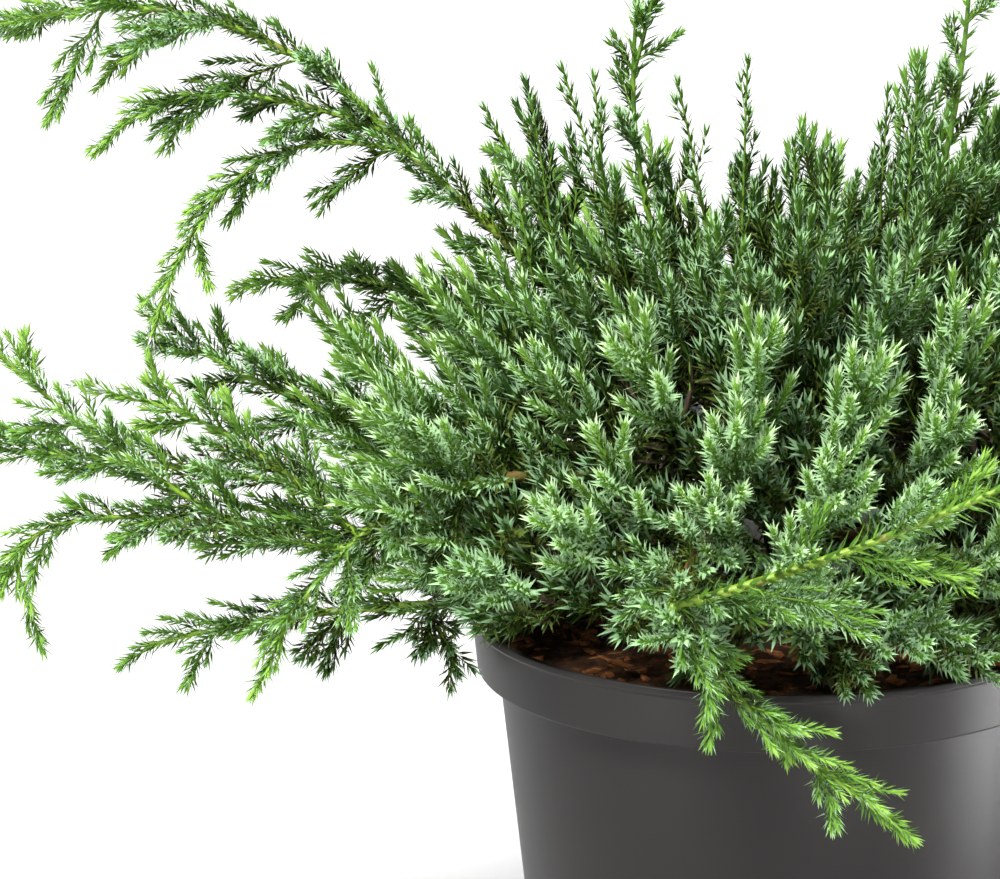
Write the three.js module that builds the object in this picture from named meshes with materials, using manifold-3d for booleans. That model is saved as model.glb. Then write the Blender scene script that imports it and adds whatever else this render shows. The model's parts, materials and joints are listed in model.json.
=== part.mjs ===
// Potted blue carpet flaky juniper: a nursery pot filled with soil, a short stem, boughs that
// fan out of it, and masses of needle sprays that stand on them.
//
// Millimetres, +Z up. The origin is the middle of the pot's underside, and the side of the
// plant that is seen first looks to -Y. Headings are degrees from +X towards +Y.

import * as THREE from 'three';
import { mergeVertices } from 'three/addons/utils/BufferGeometryUtils.js';
import Module from 'manifold-3d';

const wasm = await Module();
wasm.setup();

// Sizes of the pot, its soil and the stem

const GAP = 0.3;            // air between two pieces that touch on the real plant
const SEED = 4.7;
const GOLDEN_ANGLE = 137.508;

const POT = {
  height: 190,
  rimRadius: 110,
  collarHeight: 20.5,
  collarFootRadius: 107,
  bodyRadius: 99.5,         // just under the collar
  footRadius: 80,
  wall: 2.2,
  lip: 1.2,                 // rounding of the rim and the foot
  segments: 32,
  drainHoles: 6,
  drainRadius: 5,
  drainRing: 58,
};
const RIM = POT.height;
const COLLAR_FOOT = POT.height - POT.collarHeight;

const SOIL = {
  top: 180,
  flatRadius: 22,           // level ground round the stem
  dip: 2.5,                 // how far the surface sinks towards the wall
  chips: 9,
  chipSize: [15, 7, 3.4],
  chipTilt: 20,             // at most, degrees
  chipRing: [34, 88],       // nearest to the stem and to the wall
};

const STEM = {
  foot: SOIL.top + GAP,
  top: RIM + 70,
  bare: 12,                 // length at the top that carries no bough
  flareRadius: 14,
  flareFades: 7,            // how fast the flare narrows into the stem
  radius: 8.5,
  topRadius: 3.6,
  lean: [3, 4],             // how far the top stands off the foot, X and Y
  sides: 8,
  steps: 6,
};

// Leaders: the long limbs that leave the crown. Each is one quadratic curve.
//   heading, reach   where the tip is, seen from above
//   tip, crest       heights over the rim: of the tip, and of the point that pulls the curve
//   crestOut         how far out that point is
//   sprays, spray    how many sprays stand on it, and the length of the longest
//   width, droop     of a spray: how wide it is, how far its tip sinks (negative: curls up)
//   from, at         the limb it branches from, and the share of that limb's curve
//   radii            of its stem, from foot to tip, where they aren't the usual ones

const LEADERS = [
  { name: 'arch_left', heading: 176, reach: 155, tip: 183, crestOut: 83, crest: 113,
    sprays: 9, spray: 32, width: 13, droop: 0, radii: [1.6, 1.3] },
  { name: 'arch_tip', from: 'arch_left', at: 1, heading: 176, reach: 144, tip: 198,
    crestOut: 62, crest: 234, sprays: 10, spray: 54, width: 14, droop: 18,
    radii: [1.3, 0.6] },
  { name: 'hanging_left', from: 'arch_left', at: 0.85, heading: 190, reach: 91, tip: 108,
    crestOut: 66, crest: 185, sprays: 7, spray: 28, width: 12, droop: 8, radii: [1, 0.5] },
  { name: 'arch_side', from: 'arch_left', at: 0.9, heading: 182, reach: 94, tip: 174,
    crestOut: 61, crest: 195, sprays: 7, spray: 26, width: 11, droop: 8, radii: [1, 0.5] },
  { name: 'left_upper', heading: 156, reach: 202, tip: 99, crestOut: 110, crest: 115,
    sprays: 8, spray: 44, width: 15, droop: 6 },
  { name: 'left_mid', heading: 178, reach: 213, tip: 94, crestOut: 181, crest: 68,
    sprays: 9, spray: 44, width: 15, droop: -4 },
  { name: 'left_rising', heading: 172, reach: 299, tip: 44, crestOut: 169, crest: 43,
    sprays: 10, spray: 44, width: 14, droop: 0 },
  { name: 'front_left_arch', heading: 214, reach: 206, tip: 20, crestOut: 147, crest: 107,
    sprays: 9, spray: 42, width: 15, droop: 8 },
  { name: 'left_bright', from: 'front_left_arch', at: 0.8, heading: 176, reach: 135,
    tip: 126, crestOut: 47, crest: 43, sprays: 10, spray: 38, width: 14, droop: 0,
    radii: [1.4, 0.6] },
  { name: 'left_drooping', from: 'left_bright', at: 0.3, heading: 188, reach: 79, tip: 28,
    crestOut: 98, crest: 73, sprays: 7, spray: 26, width: 12, droop: 5, radii: [1, 0.5] },
  { name: 'left_spray', from: 'front_left_arch', at: 0.77, heading: 168, reach: 83,
    tip: 95, crestOut: 46, crest: 92, sprays: 8, spray: 36, width: 14, droop: -6,
    radii: [1, 0.5] },
  { name: 'left_low', heading: 186, reach: 223, tip: -10, crestOut: 138, crest: 12,
    sprays: 6, spray: 34, width: 12, droop: 8 },
  { name: 'front_fork', heading: 256, reach: 155, tip: 42, crestOut: 110, crest: 62,
    sprays: 0 },
  { name: 'front_rising', from: 'front_fork', at: 1, heading: 4, reach: 155, tip: 106,
    crestOut: 86, crest: 66, sprays: 10, spray: 50, width: 18, droop: 0 },
  { name: 'front_falling', from: 'front_fork', at: 1, heading: 12, reach: 75, tip: -35,
    crestOut: 14, crest: 10, sprays: 7, spray: 28, width: 15, droop: 4 },
  { name: 'upright_left', heading: 165, reach: 53, tip: 234, crestOut: 72, crest: 122,
    sprays: 8, spray: 28, width: 11, droop: -4, radii: [1.5, 0.6] },
  { name: 'upright_twin', from: 'upright_left', at: 0.8, heading: 350, reach: 10, tip: 234,
    crestOut: 6, crest: 212, sprays: 4, spray: 15, width: 10, droop: -2, radii: [0.8, 0.5] },
  { name: 'upright_right', heading: 350, reach: 64, tip: 240, crestOut: 62, crest: 120,
    sprays: 9, spray: 34, width: 13, droop: -4 },
  { name: 'arch_right', heading: 20, reach: 262, tip: 168, crestOut: 140, crest: 222,
    sprays: 11, spray: 54, width: 15, droop: 12 },
  { name: 'right_low', heading: 4, reach: 262, tip: 36, crestOut: 170, crest: 30,
    sprays: 9, spray: 48, width: 15, droop: 6 },
  { name: 'right_front', heading: 328, reach: 232, tip: 14, crestOut: 140, crest: 74,
    sprays: 8, spray: 44, width: 15, droop: 8 },
  { name: 'back_left', heading: 116, reach: 238, tip: 112, crestOut: 140, crest: 92,
    sprays: 8, spray: 46, width: 15, droop: 0 },
  { name: 'back_right', heading: 64, reach: 246, tip: 72, crestOut: 150, crest: 66,
    sprays: 8, spray: 46, width: 15, droop: 6 },
];

const BOUGH = { footRadius: 2.8, tipRadius: 1.6, sides: 5, steps: 4 };
const SHOOT = { radii: [1.6, 0.7], sides: 3, steps: 6 };
const SHOOT_SPRAY = {
  spread: [34, 50],         // degrees between a spray and the shoot it stands on
  fallsOff: 0.45,           // how much shorter the last spray is than the first
  upperShorter: 0.45,       // how much shorter a spray is on the limb's upper side
  lastAt: 0.98,             // share of the limb where its end spray is rooted
};

// Where limbs leave the stem
const FOOT_SPACING = 7.8;   // across a limb, from one that leaves the stem beside it
const NEAR_STEM = 50;       // how far out the limbs' heights are compared
const STEEPEST = 0.5;       // least flatness that counts for a limb's spacing

// The crown: a dense rounded cushion, shared out among masses that each grow on one bough

const CROWN = {
  centre: new THREE.Vector3(4, 6, RIM + 5),
  halfWidth: 176,
  halfDepth: 146,
  halfHeight: 148,
  squareness: 3,            // 2 is an ellipsoid, more is fuller at the shoulders
  rightRise: 0.3,           // how much higher the top stands per mm to the right
  coreOut: 0.74,            // the core's outer and inner face, as shares of the crown's size
  coreIn: 0.5,
  floor: RIM + 8,           // nothing of a core lies lower
  sprays: 160,
  lowest: -8,               // elevation of the lowest sprays, degrees
  highest: 88,
  frontLeftEdge: 10,        // in front they begin higher, so the soil shows under them
  frontRightEdge: 0,
  leftEdge: 3,
  skirt: 0.86,              // reach of the lowest sprays, against the usual
  skirtTop: 22,             // elevation at which they reach out in full
  rootRise: 6,              // least height of a spray's root over that floor
  lift: 0.42,               // how much the sprays turn up on their way out
  stray: 0.14,              // how much each turns some way of its own
  raggedness: [0.9, 1.06],  // how far their tips reach, as shares of the crown's size
  tallShare: 0.06,          // this share of the sprays stands out of the rest
  tallBy: 1.15,
};

// Where the crown's masses lie: rings of sites, each at one elevation
const SITE_RINGS = [
  { name: 'low', count: 6, elevation: 12, heading: 270 },
  { name: 'mid', count: 4, elevation: 46, heading: 235 },
  { name: 'top', count: 1, elevation: 88, heading: 0 },
];

const CROWN_BOUGH = { footRadius: 2.6, tipRadius: 2, sides: 5, steps: 3 };
const BOUGH_ENDS = 0.7;     // share of a crown bough's curve where the core's twig begins
const CROWN_TWIG = { footRadius: 2, tipRadius: 2, sides: 5, steps: 2 };
const CROWN_SPRAY = { length: [50, 66], width: 24 };
const SLIMMER = 0.6;        // width of a spray that has no room for its full one

// Tall shoots that stand out of the top of the crown: their tips, with heights over the rim,
// and the X and Y of their roots
const RISERS = [
  { tip: [-104, 10, 178], root: [-66, 10] },
  { tip: [-88, 10, 180], root: [-76, 10] },
  { tip: [-77, 20, 190], root: [-50, 20] },
  { tip: [-66, 10, 189], root: [-58, 10] },
  { tip: [-95, 0, 162], root: [-84, 0] },
  { tip: [-36, 0, 190], root: [-18, 0] },
  { tip: [-12, 10, 196], root: [-14, 14] },
  { tip: [5, 20, 164], root: [6, 20] },
  { tip: [18, 30, 157], root: [16, 30] },
  { tip: [38, 25, 183], root: [34, 24] },
  { tip: [48, 0, 193], root: [42, 0] },
];
const RISER = { root: RIM + 98, width: 12 };

// A spray's outline: whorls of three teeth that point forward on a slim core, as shares of
// its length and of half its width
const WHORLS = [
  { valley: 0, thin: 0.07, crest: 0.5, reach: 1 },
  { valley: 0.42, thin: 0.3, crest: 0.8, reach: 0.66 },
];

const COLOURS = {
  pot: '#3b3a3b',
  soil: '#4a3226',
  bark: '#6d5a3c',
  leaderBark: '#a7a24c',
  crownLow: '#3f6350',
  crownHigh: '#5c8a63',
  shoots: '#7ba361',
};

// Salts, so that each choice draws a row of chances of its own
const SALT = {
  chipSize: 1, chipRadius: 2, chipHeading: 3, chipTilt: 4, chipTurn: 5,
  heading: 11, reach: 12, stray: 13, length: 14, turn: 15, tall: 16,
  spread: 40, shootLength: 60, riserTurn: 17,
};

// Small tools

const UP = new THREE.Vector3(0, 0, 1);
const radians = THREE.MathUtils.degToRad;

// The same share from 0 to 1 each time for one number and one salt
function chance(number, salt) {
  const wave = Math.sin(number * 12.9898 + salt * 78.233 + SEED) * 43758.5453;
  return wave - Math.floor(wave);
}

function between(low, high, share) {
  return low + (high - low) * share;
}

function within([low, high], number, salt) {
  return between(low, high, chance(number, salt));
}

function towards(heading, elevation = 0) {
  const flat = Math.cos(radians(elevation));
  return new THREE.Vector3(
    flat * Math.cos(radians(heading)),
    flat * Math.sin(radians(heading)),
    Math.sin(radians(elevation)),
  );
}

function material(colour, roughness) {
  return new THREE.MeshStandardMaterial({ color: colour, roughness, metalness: 0 });
}

// A closed surface with its vertices merged, and no triangle that has shrunk to a line
function solid(geometry) {
  const bare = geometry.clone();
  bare.deleteAttribute('normal');
  bare.deleteAttribute('uv');
  const merged = mergeVertices(bare, 1e-4);
  const index = Array.from(merged.index.array);
  const faces = [];
  for (let start = 0; start < index.length; start += 3) {
    const [a, b, c] = index.slice(start, start + 3);
    if (a !== b && b !== c && c !== a) {
      faces.push(a, b, c);
    }
  }
  return new wasm.Manifold(new wasm.Mesh({
    numProp: 3,
    vertProperties: Float32Array.from(merged.attributes.position.array),
    triVerts: Uint32Array.from(faces),
  }));
}

function geometryOf(body) {
  const mesh = body.getMesh();
  const geometry = new THREE.BufferGeometry();
  geometry.setAttribute('position', new THREE.BufferAttribute(mesh.vertProperties, 3));
  geometry.setIndex(new THREE.BufferAttribute(mesh.triVerts, 1));
  return geometry;
}

// The largest of a body's pieces: loose scraps go, and a sealed hollow is filled
function largest(body) {
  const pieces = body.decompose();
  return pieces.reduce((best, piece) => (piece.volume() > best.volume() ? piece : best));
}

// A closed tube through rings of points, capped flat at its foot and drawn to a point or
// capped flat at its end
function loft(rings, point = null) {
  const sides = rings[0].length;
  const vertices = rings.flat();
  const faces = [];
  for (let level = 0; level + 1 < rings.length; level += 1) {
    for (let side = 0; side < sides; side += 1) {
      const a = level * sides + side;
      const b = level * sides + (side + 1) % sides;
      faces.push(a, b, a + sides, b, b + sides, a + sides);
    }
  }
  const last = (rings.length - 1) * sides;
  for (let side = 1; side + 1 < sides; side += 1) {
    faces.push(0, side + 1, side);
  }
  if (point) {
    vertices.push(point);
    for (let side = 0; side < sides; side += 1) {
      faces.push(last + side, last + (side + 1) % sides, vertices.length - 1);
    }
  } else {
    for (let side = 1; side + 1 < sides; side += 1) {
      faces.push(last, last + side, last + side + 1);
    }
  }
  const geometry = new THREE.BufferGeometry();
  geometry.setAttribute('position',
    new THREE.Float32BufferAttribute(vertices.flatMap((vertex) => vertex.toArray()), 3));
  geometry.setIndex(faces);
  return solid(geometry);
}

// Points round a centre, in the plane of two directions
function ring(centre, across, along, radius, sides, turn = 0) {
  return Array.from({ length: sides }, (_, side) => {
    const angle = turn + (2 * Math.PI * side) / sides;
    return centre.clone()
      .addScaledVector(across, radius * Math.cos(angle))
      .addScaledVector(along, radius * Math.sin(angle));
  });
}

// Curves of limbs

function limbCurve(limb, foot) {
  const out = towards(limb.heading);
  const base = new THREE.Vector3(foot.x, foot.y, 0);
  const crest = base.clone().addScaledVector(out, limb.crestOut).setZ(RIM + limb.crest);
  const tip = base.clone().addScaledVector(out, limb.reach).setZ(RIM + limb.tip);
  return new THREE.QuadraticBezierCurve3(foot, crest, tip);
}

// The way a quadratic curve runs at a share of it, as long as its speed there
function slope(curve, share) {
  return curve.v1.clone().sub(curve.v0).multiplyScalar(2 * (1 - share))
    .addScaledVector(curve.v2.clone().sub(curve.v1), 2 * share);
}

// The part of a quadratic curve from one share to another
function stretch(curve, from, to) {
  const start = curve.getPoint(from);
  const middle = start.clone().addScaledVector(slope(curve, from), (to - from) / 2);
  return new THREE.QuadraticBezierCurve3(start, middle, curve.getPoint(to));
}

// The share of a curve that lies one gap past another share
function justPast(curve, share) {
  return share + GAP / slope(curve, share).length();
}

// A tapering limb along a curve; extra makes it fatter all round
function taper(curve, { footRadius, tipRadius, sides, steps }, extra = 0) {
  const frames = curve.computeFrenetFrames(steps, false);
  const rings = [];
  for (let step = 0; step <= steps; step += 1) {
    const share = step / steps;
    rings.push(ring(curve.getPointAt(share), frames.normals[step], frames.binormals[step],
      between(footRadius, tipRadius, share) + extra, sides));
  }
  return loft(rings);
}

// One spray of needles from its root to its tip; extra makes it fatter all round
function spray({ root, tip, width, turn }, extra = 0) {
  const way = tip.clone().sub(root);
  const across = new THREE.Vector3().crossVectors(way, UP).normalize();
  const above = new THREE.Vector3().crossVectors(across, way).normalize();
  const rings = [];
  const addRing = (share, radius) => {
    const centre = root.clone().addScaledVector(way, share);
    rings.push(ring(centre, above, across, radius * width / 2 + extra, 3,
      turn + rings.length * Math.PI / 3));
  };
  for (const { valley, thin, crest, reach } of WHORLS) {
    addRing(valley, thin);
    addRing(crest, reach);
  }
  return loft(rings, tip.clone().addScaledVector(way, extra / way.length()));
}

// Pieces that are already in place, which later ones keep clear of

const placed = [];

function boxesMeet(a, b) {
  return [0, 1, 2].every((axis) => a.min[axis] < b.max[axis] && b.min[axis] < a.max[axis]);
}

function touchesOthers(body, own) {
  const box = body.boundingBox();
  return placed.some((piece) => piece.name !== own && boxesMeet(box, piece.box)
    && body.intersect(piece.body).volume() > 0);
}

function place(name, body) {
  placed.push({ name, body, box: body.boundingBox() });
}

// The plant's nodes

const plant = new THREE.Group();

function addNode(name, body, colour, roughness = 0.9) {
  const mesh = new THREE.Mesh(geometryOf(body), material(colour, roughness));
  mesh.name = name;
  plant.add(mesh);
}

// Pot

function potOutside(height) {
  return between(POT.footRadius, POT.bodyRadius, height / COLLAR_FOOT);
}

// A round body from its profile, given as radius and height
function turned(profile) {
  const points = profile.map(([radius, height]) => new THREE.Vector2(radius, height));
  return solid(new THREE.LatheGeometry(points, POT.segments).rotateX(Math.PI / 2));
}

function potSolid() {
  const { lip, wall, rimRadius, collarFootRadius } = POT;
  const ledge = COLLAR_FOOT - lip;
  let pot = turned([
    [0, 0],
    [POT.footRadius - lip, 0],
    [POT.footRadius, lip],
    [potOutside(ledge), ledge],
    [collarFootRadius - lip, ledge],
    [collarFootRadius, COLLAR_FOOT],
    [rimRadius - lip / 3, RIM - 2 * lip],
    [rimRadius, RIM - lip],
    [rimRadius - lip, RIM],
    [rimRadius - wall, RIM - lip],
    [collarFootRadius - wall, COLLAR_FOOT + wall],
    [potOutside(ledge) - wall, ledge + wall],
    [potOutside(wall) - wall, wall],
    [0, wall],
  ]);
  for (let hole = 0; hole < POT.drainHoles; hole += 1) {
    const { x, y } = towards((360 / POT.drainHoles) * (hole + 0.5))
      .multiplyScalar(POT.drainRing);
    const drill = new THREE.CylinderGeometry(POT.drainRadius, POT.drainRadius, 3 * wall, 10)
      .rotateX(Math.PI / 2).translate(x, y, wall / 2);
    pot = pot.subtract(solid(drill));
  }
  return pot;
}

// Soil, with chips of bark on it

function soilSolid() {
  const inset = POT.wall + GAP;
  const ledge = COLLAR_FOOT - POT.lip;
  const edge = SOIL.top - SOIL.dip;
  const collarRadius = between(POT.collarFootRadius, POT.rimRadius,
    (edge - COLLAR_FOOT) / POT.collarHeight);
  const middle = (SOIL.flatRadius + collarRadius) / 2;
  let soil = turned([
    [0, inset],
    [potOutside(inset) - inset, inset],
    [potOutside(ledge) - inset, ledge + inset],
    [POT.collarFootRadius - inset, COLLAR_FOOT + inset],
    [collarRadius - inset - GAP, edge],
    [middle, SOIL.top - SOIL.dip / 3],
    [SOIL.flatRadius, SOIL.top],
    [0, SOIL.top],
  ]);
  for (let chip = 0; chip < SOIL.chips; chip += 1) {
    const size = within([0.6, 1.15], chip, SALT.chipSize);
    const radius = between(...SOIL.chipRing, Math.sqrt(chance(chip, SALT.chipRadius)));
    const { x, y } = towards(360 * chance(chip, SALT.chipHeading)).multiplyScalar(radius);
    const box = new THREE.BoxGeometry(...SOIL.chipSize.map((side) => side * size))
      .rotateX(radians(within([-SOIL.chipTilt, SOIL.chipTilt], chip, SALT.chipTilt)))
      .rotateZ(2 * Math.PI * chance(chip, SALT.chipTurn))
      .translate(x, y, SOIL.top - SOIL.dip / 5);
    soil = soil.add(solid(box));
  }
  return largest(soil);
}

// Stem: a short trunk with a root flare, and its axis, which the limbs start on

function stemPoint(height) {
  const share = (height - STEM.foot) / (STEM.top - STEM.foot);
  return new THREE.Vector3(STEM.lean[0] * share, STEM.lean[1] * share, height);
}

function stemRadius(height) {
  const share = (height - STEM.foot) / (STEM.top - STEM.foot);
  const flare = (STEM.flareRadius - STEM.radius) * Math.exp(-share * STEM.flareFades);
  return between(STEM.radius, STEM.topRadius, share) + flare;
}

// The stem's rings lie closer together in the flare; extra makes it fatter all round
function stemSolid(extra = 0) {
  const rings = [];
  for (let step = 0; step <= STEM.steps; step += 1) {
    const height = between(STEM.foot, STEM.top, (step / STEM.steps) ** 2);
    rings.push(ring(stemPoint(height), towards(0), towards(90), stemRadius(height) + extra,
      STEM.sides));
  }
  return loft(rings);
}

// The crown's outline: how far it reaches in a direction from its centre

function crownReach(way) {
  const power = CROWN.squareness;
  const sum = Math.abs(way.x / CROWN.halfWidth) ** power
    + Math.abs(way.y / CROWN.halfDepth) ** power
    + Math.abs(way.z / CROWN.halfHeight) ** power;
  return sum ** (-1 / power);
}

function crownPoint(way, share) {
  const point = way.clone().multiplyScalar(crownReach(way) * share);
  point.z += CROWN.rightRise * Math.max(0, way.z) ** 2 * Math.max(0, point.x);
  return point.add(CROWN.centre);
}

// The share of the crown's reach at which a point lies
function crownShare(point) {
  const arm = point.clone().sub(CROWN.centre);
  return arm.length() / crownReach(arm.clone().normalize());
}

function crownBody(share, detail) {
  const geometry = new THREE.IcosahedronGeometry(1, detail);
  const position = geometry.attributes.position;
  for (let corner = 0; corner < position.count; corner += 1) {
    const way = new THREE.Vector3().fromBufferAttribute(position, corner).normalize();
    position.setXYZ(corner, ...crownPoint(way, share).toArray());
  }
  return solid(geometry);
}

const sites = SITE_RINGS.flatMap(({ name, count, elevation, heading }) => (
  Array.from({ length: count }, (_, number) => ({
    name: count > 1 ? `${name}_${number + 1}` : name,
    heading: (heading + (360 / count) * number) % 360,
    elevation,
    way: towards(heading + (360 / count) * number, elevation),
    isTop: count === 1,
  }))
));

// One site's share of the crown's core, cut off from its neighbours by planes half way
function coreCell(site, shell) {
  let cell = shell;
  for (const other of sites) {
    if (other !== site) {
      const across = site.way.clone().sub(other.way).normalize();
      cell = cell.trimByPlane(across.toArray(), across.dot(CROWN.centre) + GAP / 2);
    }
  }
  return cell;
}

function massAt(way) {
  const site = sites.reduce((best, other) => (
    other.way.dot(way) > best.way.dot(way) ? other : best));
  return `crown_${site.name}`;
}

// How far the crown's sprays reach at an elevation: the lowest are shorter
function skirtReach(elevation) {
  const share = (elevation - CROWN.lowest) / (CROWN.skirtTop - CROWN.lowest);
  return between(CROWN.skirt, 1, Math.min(1, share));
}

// Whether sprays grow in a direction: none stand low in front and on the left
function isBare(way, elevation) {
  const frontEdge = way.x < 0.1 ? CROWN.frontLeftEdge : CROWN.frontRightEdge;
  return (way.y < -0.55 && elevation < frontEdge) || (way.x < -0.6 && elevation < CROWN.leftEdge);
}

// The crown's sprays: spread evenly over its outline by the golden angle
function crownSprays() {
  const sprays = [];
  const low = Math.sin(radians(CROWN.lowest));
  const high = Math.sin(radians(CROWN.highest));
  for (let number = 0; number < CROWN.sprays; number += 1) {
    const rise = between(low, high, (number + 0.5) / CROWN.sprays);
    const heading = number * GOLDEN_ANGLE + within([-5, 5], number, SALT.heading);
    const elevation = THREE.MathUtils.radToDeg(Math.asin(rise));
    const way = towards(heading, elevation);
    if (isBare(way, elevation)) {
      continue;
    }
    const tall = chance(number, SALT.tall) < CROWN.tallShare ? CROWN.tallBy : 1;
    const reach = skirtReach(elevation) * within(CROWN.raggedness, number, SALT.reach);
    const tip = crownPoint(way, tall * reach);
    const growth = way.clone().addScaledVector(UP, CROWN.lift * between(0.4, 1, rise))
      .addScaledVector(towards(360 * chance(number, SALT.stray)), CROWN.stray).normalize();
    const length = tall * within(CROWN_SPRAY.length, number, SALT.length);
    const root = tip.clone().addScaledVector(growth, -length);
    root.z = Math.max(root.z, CROWN.floor + CROWN.rootRise);
    const turn = 2 * Math.PI * chance(number, SALT.turn);
    sprays.push({ mass: massAt(way), root, tip, turn, width: CROWN_SPRAY.width });
  }
  return sprays;
}

function risers() {
  return RISERS.map(({ tip: [x, y, height], root: [rootX, rootY] }, number) => {
    const root = new THREE.Vector3(rootX, rootY, RISER.root);
    return {
      mass: massAt(root.clone().sub(CROWN.centre).normalize()),
      root,
      tip: new THREE.Vector3(x, y, RIM + height),
      turn: 2 * Math.PI * chance(number, SALT.riserTurn),
      width: RISER.width,
    };
  });
}

// The sprays along a leader, turned about it by the golden angle
function leaderSprays(limb, curve, from, salt) {
  return Array.from({ length: limb.sprays }, (_, number) => {
    const isTip = number === limb.sprays - 1;
    const share = isTip ? SHOOT_SPRAY.lastAt : between(from, 1, (number + 0.45) / limb.sprays);
    const forward = slope(curve, share).normalize();
    const across = new THREE.Vector3().crossVectors(forward, UP).normalize();
    const above = new THREE.Vector3().crossVectors(across, forward);
    const turn = radians(GOLDEN_ANGLE * (number + salt) + within([-20, 20], number, salt));
    const spread = isTip ? 0 : radians(within(SHOOT_SPRAY.spread, number, salt + SALT.spread));
    const way = forward.clone().multiplyScalar(Math.cos(spread))
      .addScaledVector(across, Math.cos(turn) * Math.sin(spread))
      .addScaledVector(above, Math.sin(turn) * Math.sin(spread));
    const outward = 1 - SHOOT_SPRAY.fallsOff * share;
    const shorter = isTip ? 1 : 1 - SHOOT_SPRAY.upperShorter * Math.max(0, Math.sin(turn));
    const length = limb.spray * outward * shorter
      * within([0.8, 1.1], number, salt + SALT.shootLength);
    const root = curve.getPoint(share);
    const tip = root.clone().addScaledVector(way, length)
      .addScaledVector(UP, -limb.droop * outward);
    return {
      mass: `shoots_${limb.name}`, root, tip, turn, width: limb.width * between(0.8, 1, outward),
    };
  });
}

// Where the limbs leave the stem: those that run highest leave it highest
function footHeights(limbs) {
  const feet = [];
  for (const limb of [...limbs].sort((a, b) => b.heightNearStem - a.heightNearStem)) {
    let height = STEM.top - STEM.bare;
    const isNear = (foot) => {
      const turn = Math.abs(((limb.heading - foot.heading + 540) % 360) - 180);
      const arc = radians(turn) * stemRadius(height);
      const apart = Math.hypot(arc, (height - foot.height) * limb.flatness);
      return apart < FOOT_SPACING;
    };
    while (feet.some(isNear)) {
      height -= 0.5;
    }
    feet.push({ name: limb.name, heading: limb.heading, height });
  }
  return new Map(feet.map((foot) => [foot.name, foot.height]));
}

// A curve's height where it has come a certain way out from the stem
function heightAt(curve, out) {
  for (let share = 0; share < 1; share += 0.01) {
    const point = curve.getPoint(share);
    if (Math.hypot(point.x, point.y) > out) {
      return point.z;
    }
  }
  return curve.v2.z;
}

function siteCurve(site, foot) {
  const tip = crownPoint(site.way, between(CROWN.coreIn, CROWN.coreOut, 0.5));
  return new THREE.QuadraticBezierCurve3(foot, foot.clone().lerp(tip, 0.5), tip);
}

// The share of a limb's curve at which it has come out of the crown's core
function leavesCore(curve) {
  let share = 0;
  while (share < 1 && crownShare(curve.getPoint(share)) < CROWN.coreOut) {
    share += 0.01;
  }
  return share;
}

const leaderBoughs = LEADERS.filter((limb) => !limb.from).map((limb) => ({
  name: limb.name,
  heading: limb.heading,
  shape: BOUGH,
  colour: COLOURS.leaderBark,
  curveFrom: (foot) => limbCurve(limb, foot),
  endOf: (curve) => (limb.sprays ? leavesCore(curve) : 1),
}));
const crownBoughs = sites.filter((site) => !site.isTop).map((site) => ({
  name: `crown_${site.name}`,
  heading: site.heading,
  shape: CROWN_BOUGH,
  colour: COLOURS.bark,
  curveFrom: (foot) => siteCurve(site, foot),
  endOf: () => BOUGH_ENDS,
}));
const HALF_STEM = stemPoint(between(STEM.foot, STEM.top, 0.5));
const boughs = [...leaderBoughs, ...crownBoughs].map((bough) => {
  const curve = bough.curveFrom(HALF_STEM);
  const start = slope(curve, 0);
  return {
    ...bough,
    heightNearStem: heightAt(curve, NEAR_STEM),
    flatness: Math.max(STEEPEST, Math.hypot(start.x, start.y) / start.length()),
  };
});

// Build: pot, soil and stem

const pot = potSolid();
const soil = soilSolid();
const stem = stemSolid();
addNode('pot', pot, COLOURS.pot, 0.45);
addNode('soil', soil, COLOURS.soil, 1);
addNode('stem', stem, COLOURS.bark);
place('pot', pot);
place('soil', soil);
place('stem', stem);

// Build: boughs, each from the stem to where its first mass begins

const heights = footHeights(boughs);
const fatStem = stemSolid(GAP);
const curves = new Map();
const fatLimbs = [];

for (const bough of boughs) {
  const curve = bough.curveFrom(stemPoint(heights.get(bough.name)));
  bough.end = bough.endOf(curve);
  curves.set(bough.name, curve);
  const part = stretch(curve, 0, bough.end);
  const body = largest(taper(part, bough.shape).subtract(fatStem));
  addNode(`bough_${bough.name}`, body, bough.colour);
  place(`bough_${bough.name}`, body);
  fatLimbs.push(taper(part, bough.shape, 2 * GAP));
}

// Build: the stems of the leaders' shoots, each clear of the limb that it branches from

const masses = new Map();
const sprays = [];

LEADERS.filter((limb) => limb.sprays).forEach((limb, salt) => {
  if (limb.from) {
    curves.set(limb.name, limbCurve(limb, curves.get(limb.from).getPoint(limb.at)));
  }
  const curve = curves.get(limb.name);
  const start = limb.from ? 0 : boughs.find((bough) => bough.name === limb.name).end;
  const mass = `shoots_${limb.name}`;
  const way = stretch(curve, justPast(curve, start), 1);
  const [footRadius, tipRadius] = limb.radii ?? SHOOT.radii;
  const shape = { ...SHOOT, footRadius, tipRadius };
  const body = fatLimbs.reduce((left, other) => left.subtract(other), taper(way, shape));
  masses.set(mass, { body: largest(body), colour: COLOURS.shoots });
  fatLimbs.push(taper(way, shape, 2 * GAP));
  place(mass, masses.get(mass).body);
  sprays.push(...leaderSprays(limb, curve, start, salt));
});

// Build: the crown's cores, each on the end of its bough, the top one on the stem itself

const shell = crownBody(CROWN.coreOut, 2).subtract(crownBody(CROWN.coreIn, 1))
  .trimByPlane([0, 0, 1], CROWN.floor);

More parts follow.
